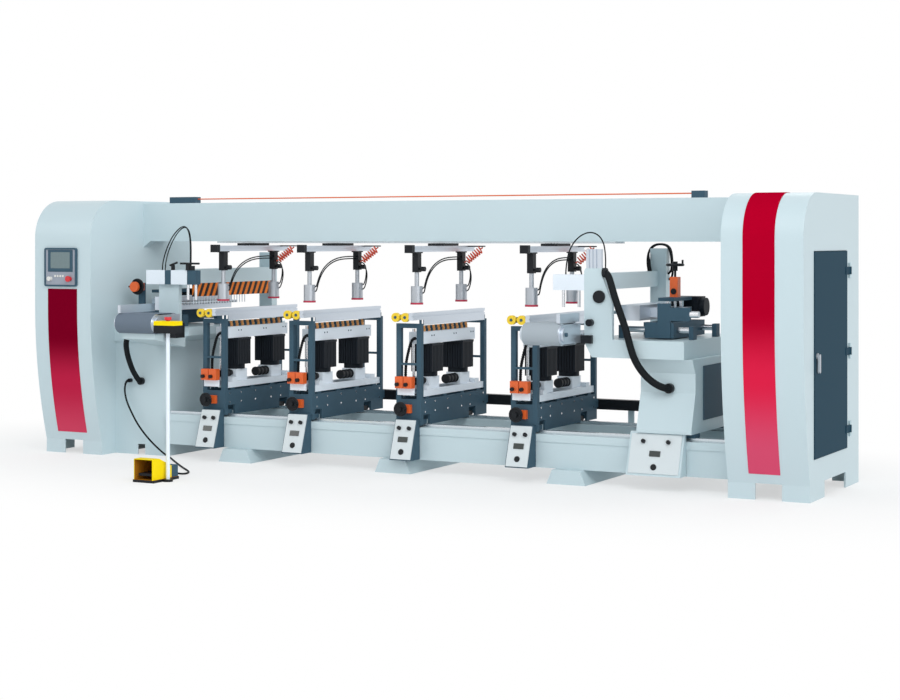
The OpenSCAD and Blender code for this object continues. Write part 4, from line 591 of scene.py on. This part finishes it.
for k in range(COILS * STEPS + 1):
    along = COIL_L * k / (COILS * STEPS)
    around = 2 * math.pi * k / STEPS
    coil.append(Vector((along, -COIL_R * math.cos(around), COIL_R * math.sin(around))))
coil += [Vector((COIL_L + TUBE, -COIL_R, 0)), Vector((COIL_L + 2 * TUBE, -COIL_R, 0))]
coil = [spiral_frame @ p for p in coil]

# Thin hoses of a clamp: shares of the way in X, Y and Z from a cylinder port to the rear bracket
FRONT_SHARES = (
    (0.02, 0.02, 0.10), (0.06, 0.06, 0.30), (0.14, 0.14, 0.55), (0.26, 0.26, 0.75), (0.42, 0.42, 0.90),
    (0.60, 0.60, 0.98), (0.80, 0.80, 1))
BACK_SHARES = (
    (-0.12, 0.21, 0.17), (-0.12, 0.58, 0.43), (0.07, 0.96, 0.69), (0.44, 1.27, 0.88), (0.79, 1.27, 0.98))
FRONT_END = 0.72 * BRACKET_H
BACK_END = 0.40 * BRACKET_H
SECOND_WIDER = 0.35
THIN = 0.008
LEAD = 0.014
END_X = 0.008


def thin_hose(start, end, lead, shares):
    """Points from a cylinder port outwards, on by shares of the way and square into a face."""
    first = (start[0] + THIN, start[1], start[2])
    last = (end[0], end[1] + lead, end[2])
    between = [tuple(a + k * (b - a) for a, b, k in zip(first, last, s)) for s in shares]
    return [start, first] + between + [last, end]


for i, x in enumerate(UNIT_X, 1):
    spiral = curve_piece(f"spiral_hose_{i}", [(x + q.x, q.y, q.z) for q in coil], TUBE, HOSE_RED,
                         f"clamp_{i}", order=3, sides=3)
    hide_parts(f"air_hoses_{i}")
    for k in (0, 1):
        side = x + (1 - 2 * k) * END_X
        z, end_z = PORT_Z - k * PORT_STEP, BRACKET_Z - k * PORT_STEP / 2
        wider = [(a, b * (1 + SECOND_WIDER * k), c) for a, b, c in BACK_SHARES]
        routes = {
            f"thin_hose_{i}_{k + 1}": thin_hose(
                (x + PORT_X, FOOT_YS[0], z), (side, FOOT_YS[1] - BRACKET_HALF, end_z + FRONT_END),
                -LEAD, FRONT_SHARES),
            f"thin_hose_{i}_{k + 3}": thin_hose(
                (x + PORT_X, FOOT_YS[1], z), (side, FOOT_YS[1] + BRACKET_HALF, end_z + BACK_END),
                LEAD, wider)}
        for name, pts in routes.items():
            hose = to_mesh(curve_piece(name, pts, THIN, RUBBER, sides=2))
            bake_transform(hose)


# Makers of small hardware
def mesh_piece(name, verts, faces, mat, slot):
    mesh = bpy.data.meshes.new(name)
    mesh.from_pydata(verts, [], faces)
    mesh.materials.append(mat)
    o = placed(name, mesh)
    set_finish(o, slot)
    return o


def joined(name, makers, mat, body, slot):
    """One mesh of several primitives: each maker gives vertices and faces."""
    verts, faces = [], []
    for v, f in makers:
        n = len(verts)
        verts += v
        faces += [tuple(n + a for a in q) for q in f]
    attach(mesh_piece(name, verts, faces, mat, slot), body)


def ring_of(centre, u, w, r, n):
    """n points round the centre in the plane of u and w."""
    turns = [2 * math.pi * k / n for k in range(n)]
    return [centre + r * (math.cos(a) * u + math.sin(a) * w) for a in turns]


def disc(center, axis, d, h, n=12):
    """Cylinder from center along axis, as vertices and faces."""
    a = Vector(axis).normalized()
    u = a.orthogonal().normalized()
    ring = ring_of(Vector(center), u, a.cross(u), d / 2, n)
    verts = [tuple(p) for p in ring] + [tuple(p + h * a) for p in ring]
    faces = [tuple(range(n - 1, -1, -1)), tuple(range(n, 2 * n))]
    faces += [(k, (k + 1) % n, n + (k + 1) % n, n + k) for k in range(n)]
    return verts, faces


def brick(lo, hi):
    """Box between two corners, as vertices and faces."""
    verts = [(x, y, z) for x in (lo[0], hi[0]) for y in (lo[1], hi[1]) for z in (lo[2], hi[2])]
    return verts, [(0, 1, 3, 2), (4, 6, 7, 5), (0, 4, 5, 1), (2, 3, 7, 6), (0, 2, 6, 4), (1, 5, 7, 3)]


def smooth_path(points, step):
    """Points along a smooth curve through the given ones, about a step apart."""
    p = [Vector(q) for q in points]
    p = [2 * p[0] - p[1]] + p + [2 * p[-1] - p[-2]]
    out = []
    for a, b, c, d in zip(p, p[1:], p[2:], p[3:]):
        n = max(1, round((c - b).length / step))
        for k in range(n):
            t = k / n
            out.append(((2 * b) + (c - a) * t + (2 * a - 5 * b + 4 * c - d) * t ** 2
                        + (3 * b - a - 3 * c + d) * t ** 3) / 2)
    return out + [p[-2]]


STEPS_A_DIAMETER = 6
STEPS_A_RIB = 4
GROOVE = 0.82


def corrugated(name, points, d, mat, slot, ring=10, taper=1.0):
    """Ribbed tube along points: rings of two diameters by turns, thinner at the end by taper."""
    path = smooth_path(points, d / STEPS_A_DIAMETER)
    verts, faces = [], []
    u = None
    for k, q in enumerate(path):
        t = (path[min(k + 1, len(path) - 1)] - path[max(k - 1, 0)]).normalized()
        u = (t.orthogonal() if u is None else u - u.dot(t) * t).normalized()
        rib = 1 if k % STEPS_A_RIB < STEPS_A_RIB / 2 else GROOVE
        r = d / 2 * rib * (1 + (taper - 1) * k / (len(path) - 1))
        verts += [tuple(p) for p in ring_of(q, u, t.cross(u), r, ring)]
    for k in range(len(path) - 1):
        for j in range(ring):
            a, b = k * ring + j, k * ring + (j + 1) % ring
            faces.append((a, b, b + ring, a + ring))
    faces += [tuple(range(ring - 1, -1, -1)), tuple(range(len(verts) - ring, len(verts)))]
    return mesh_piece(name, verts, faces, mat, slot)


# Bolts on the side plates and caps on the gearcases
PLATE_FACE_X = 0.0874
PLATE_BOLT_YS = (-0.33, -0.20, -0.03, 0.16, 0.28, 0.47)
PLATE_BOLT_ZS = (0.378, 0.437)
CASE_FACE_X = 0.0499
CASE_CAP_YS = (-0.17, -0.14, 0.13, 0.16, 0.37, 0.40)
CASE_CAP_Z = 0.842
SIDES = (1, -1)
for i, x in enumerate(UNIT_X, 1):
    joined(f"plate_bolts_{i}", [
        disc((x + side * PLATE_FACE_X, y, z), (side, 0, 0), 0.012, 0.003)
        for side in SIDES for y in PLATE_BOLT_YS for z in PLATE_BOLT_ZS],
        BRIGHT, f"unit_{i}", "bright_chrome")
    joined(f"head_bolts_{i}", [
        disc((x + side * CASE_FACE_X, y, CASE_CAP_Z), (side, 0, 0), 0.010, 0.002)
        for side in SIDES for y in CASE_CAP_YS],
        SLATE, f"head_{i}", "slate_paint")

# Sleeves of the cord at both ends, fittings of the thick hoses
SLEEVES = {
    "cord_sleeve_gland": CORD[:4],
    "cord_sleeve_pedal": [CORD[-1], CORD[-2], CORD[-3], (-1.0885, -1.204, 0.028)],
}
for name, route in SLEEVES.items():
    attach(corrugated(name, route, 0.022, RUBBER, "black_rubber", taper=0.68), "base")
joined("left_hose_fittings", [
    disc((-1.9720, -0.3502, 0.493), (0, -1, 0), 0.050, 0.024, 20),
    disc((-1.8647, -0.600, 0.806), (-1, 0, 0), 0.050, 0.022, 20),
], BLACK, "base", "black_plastic")
joined("right_hose_fittings", [
    disc((1.7900, -0.3502, 0.586), (0, -1, 0), 0.058, 0.028, 20),
    disc((1.4003, -0.412, 1.250), (1, 0, 0), 0.056, 0.022, 20),
], BLACK, "right_unit", "black_plastic")

# Round face of the right counter, webs of the end handwheels
joined("right_counter_face", [disc((1.690, -0.0252, 1.135), (0, -1, 0), 0.036, 0.004, 20)],
       BLACK, "right_feed", "black_plastic")
joined("right_wheel_web", [
    disc((1.690, 0, 1.289), (0, 0, 1), 0.095, 0.006, 24),
    disc((1.690, 0, 1.256), (0, 0, 1), 0.030, 0.033, 16),
], BLACK, "right_wheel", "black_plastic")
joined("left_wheel_web", [disc((-2.040, -0.3077, 1.124), (0, -1, 0), 0.095, 0.006, 24)],
       BLACK, "left_wheel", "black_plastic")

# Two cables of the right tower: the second starts beside the first, runs behind it and ends lower
ASIDE_POINTS = 3
FORWARD_POINTS = 4
LOWER_FROM = 10
FORWARD_SHARE = 0.7
BEHIND_SHARE = 0.9
TOWER_CABLE = [
    (1.345, 0.450, 1.2452), (1.338, 0.452, 1.275), (1.332, 0.460, 1.315), (1.331, 0.480, 1.358),
    (1.341, 0.500, 1.394), (1.366, 0.511, 1.411), (1.398, 0.513, 1.414), (1.432, 0.513, 1.410),
    (1.458, 0.512, 1.392), (1.470, 0.511, 1.355), (1.475, 0.511, 1.305), (1.475, 0.511, 1.262),
    (1.469, 0.511, 1.238), (1.4502, 0.511, 1.228)]


def cable_point(j, q, aside, lower):
    """Point j of a tower cable, moved from q sideways by aside or a share of it and down by lower."""
    share = -FORWARD_SHARE if j < FORWARD_POINTS else BEHIND_SHARE
    return (q[0] + (aside if j < ASIDE_POINTS else 0),
            q[1] + share * aside,
            q[2] - (lower if j >= LOWER_FROM else 0))


for k, (aside, lower) in enumerate(((0, 0), (0.020, 0.036)), 1):
    pts = [cable_point(j, q, aside, lower) for j, q in enumerate(TOWER_CABLE)]
    curve_piece(f"tower_cable_{k}", pts, 0.014, RUBBER, "right_unit")

# Webs of the unit handwheels, plates under the table bars, ribbed drives beside the lift blocks
DRIVE_X = 0.0176
DRIVE_PARTS = 3
DRIVES = ((-0.345, -0.2158, 0.5635, 0.048), (0.075, 0.2035, 0.553, 0.060))
for i, x in enumerate(UNIT_X, 1):
    joined(f"wheel_web_{i}", [disc((x - 0.028, WHEEL_Y + 0.003, 0.398), (0, -1, 0), 0.078, 0.006, 24)],
           BLACK, f"wheel_{i}", "black_plastic")
    joined(f"table_plate_{i}", [brick((x + 0.0833, -0.346, 0.915), (x + 0.0890, 0.491, 0.9479))],
           ALU, f"unit_{i}", "machined_alu")
    for k, (y0, y1, z, d) in enumerate(DRIVES, 1):
        route = [(x + DRIVE_X, y0 + (y1 - y0) * s / DRIVE_PARTS, z) for s in range(DRIVE_PARTS + 1)]
        drive = corrugated(f"lift_drive_{i}_{k}", route, d, BLACK, "black_plastic", ring=16)
        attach(drive, f"unit_{i}")

# Cable from each head's front end to the plate under the counters, and a tab behind each unit
CABLE = [
    (-0.005, -0.2842, 0.826), (-0.006, -0.306, 0.825), (-0.012, -0.328, 0.804), (-0.024, -0.340, 0.745),
    (-0.036, -0.345, 0.680), (-0.040, -0.346, 0.620), (-0.040, -0.347, 0.560), (-0.040, -0.353, 0.525),
    (-0.040, -0.366, 0.508), (-0.040, -0.3800, 0.504)]
for i, x in enumerate(UNIT_X, 1):
    pts = [(x + q[0], q[1], q[2]) for q in CABLE]
    cable = corrugated(f"head_cable_{i}", pts, 0.020, RUBBER, "black_rubber")
    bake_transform(cable)
    joined(f"rear_tab_{i}", [brick((x + 0.0725, 0.5252, 0.368), (x + 0.0875, 0.585, 0.420))],
           SLATE, f"unit_{i}", "slate_paint")

# Clamp levers on the left bridge
BRIDGE_TOP = 1.2392
joined("bridge_levers", [
    disc((-1.700, -0.372, BRIDGE_TOP), (0, 0, 1), 0.026, 0.034),
    disc((-1.725, -0.372, 1.270), (0.95, 0, 0.32), 0.014, 0.062),
    disc((-1.560, -0.400, BRIDGE_TOP), (0, 0, 1), 0.030, 0.040),
    disc((-1.620, -0.400, 1.284), (1, 0, 0), 0.014, 0.150),
    disc((-1.535, -0.386, BRIDGE_TOP), (0, 0, 1), 0.036, 0.030),
], BLACK, "base", "black_plastic")

# Dark surround of the operator panel's display: bottom, top, left and right strips
OUT_X0, IN_X0, IN_X1, OUT_X1 = -2.537, -2.5142, -2.3518, -2.329
OUT_Z0, IN_Z0, IN_Z1, OUT_Z1 = 1.226, 1.2491, 1.3578, 1.372
STRIP_FRONT = -0.6345
STRIP_BACK = -0.6324
STRIPS = (
    (OUT_X0, OUT_X1, OUT_Z0, IN_Z0), (OUT_X0, OUT_X1, IN_Z1, OUT_Z1),
    (OUT_X0, IN_X0, IN_Z0, IN_Z1), (IN_X1, OUT_X1, IN_Z0, IN_Z1))
joined("screen_surround", [
    brick((x0, STRIP_FRONT, z0), (x1, STRIP_BACK, z1)) for x0, x1, z0, z1 in STRIPS],
    SLATE, "base", "slate_paint")

# Floor
FLOOR_HALF = 60
FADE_REACH = (0.30, 0.55, 0)
corners = [(FLOOR_HALF * a, FLOOR_HALF * b, 0) for a, b in ((-1, -1), (1, -1), (1, 1), (-1, 1))]
floor_mesh = bpy.data.meshes.new("floor")
floor_mesh.from_pydata(corners, [], [(0, 1, 2, 3)])
floor = placed("floor", floor_mesh)
floor_mat = material("floor", (0.88, 0.89, 0.89), 0.85, grain=2, spread=0.004, bump=0.0)
floor_mesh.materials.append(floor_mat)


def seen(tree):
    """1 for rays from the camera and for those that metal or glass sends on, else 0."""
    path = add(tree, "ShaderNodeLightPath").outputs
    either = calc(tree, "MAXIMUM", path["Is Camera Ray"], path["Is Glossy Ray"])
    return calc(tree, "MAXIMUM", either, path["Is Transmission Ray"])


def shader_mix(tree, factor, a, b):
    n = add(tree, "ShaderNodeMixShader")
    link(tree, factor, n.inputs["Fac"])
    link(tree, a, n.inputs[1])
    link(tree, b, n.inputs[2])
    return n.outputs["Shader"]


# Near the machine the floor shows its shadow on a pale ground, further out it passes into white
ft = floor_mat.node_tree
reach = add(ft, "ShaderNodeVectorMath", operation="MULTIPLY")
reach.inputs[1].default_value = FADE_REACH
link(ft, object_place(ft), reach.inputs[0])
far = add(ft, "ShaderNodeVectorMath", operation="LENGTH")
link(ft, reach.outputs["Vector"], far.inputs[0])
fade = add(ft, "ShaderNodeMapRange", {"From Min": 0.6, "From Max": 1.5, "To Min": 0.55, "To Max": 1.0},
           interpolation_type="SMOOTHSTEP")
link(ft, far.outputs["Value"], fade.inputs["Value"])
amount = calc(ft, "MULTIPLY", fade.outputs["Result"], seen(ft))
glow = add(ft, "ShaderNodeEmission", {"Strength": 1.0})
ground = shader_mix(ft, amount, ft.nodes["Principled BSDF"].outputs["BSDF"], glow.outputs["Emission"])
link(ft, ground, ft.nodes["Material Output"].inputs["Surface"])

# Background: white where it is seen, a plain soft light elsewhere
world = bpy.data.worlds.new("world")
scene.world = world
world.use_nodes = True
wt = world.node_tree
wt.nodes.clear()
out = add(wt, "ShaderNodeOutputWorld")
shown = add(wt, "ShaderNodeBackground", {"Color": (1, 1, 1, 1)})
lit = add(wt, "ShaderNodeBackground", {"Color": (0.93, 0.97, 1, 1), "Strength": 0.62})
link(wt, shader_mix(wt, seen(wt), lit.outputs[0], shown.outputs[0]), out.inputs["Surface"])


# Lamps
def aim(direction):
    return Vector(direction).to_track_quat("-Z", "Y").to_euler()


def area(name, place, target, size, power):
    data = bpy.data.lights.new(name, "AREA")
    data.shape = "DISK"
    data.size = size
    data.energy = power
    o = placed(name, data)
    o.location = place
    o.rotation_euler = aim(Vector(target) - Vector(place))


area("key", (1.0, -8.0, 6.5), (0, 0, 0.8), size=6, power=80)
area("near", (3.0, -4.5, 4.5), (-1.5, 0, 0.9), size=3, power=80)
area("fill", (-6.0, -6.0, 4.5), (-0.5, 0, 0.8), size=4, power=50)
area("back", (2.0, 6.0, 6.0), (0, 0, 0.8), size=5, power=110)
sun_data = bpy.data.lights.new("side", "SUN")
sun_data.energy = 1.0
sun_data.angle = 1.0
sun = placed("side", sun_data)
sun.rotation_euler = aim((-1, 0.40, -0.35))
scene.view_settings.view_transform = "Standard"
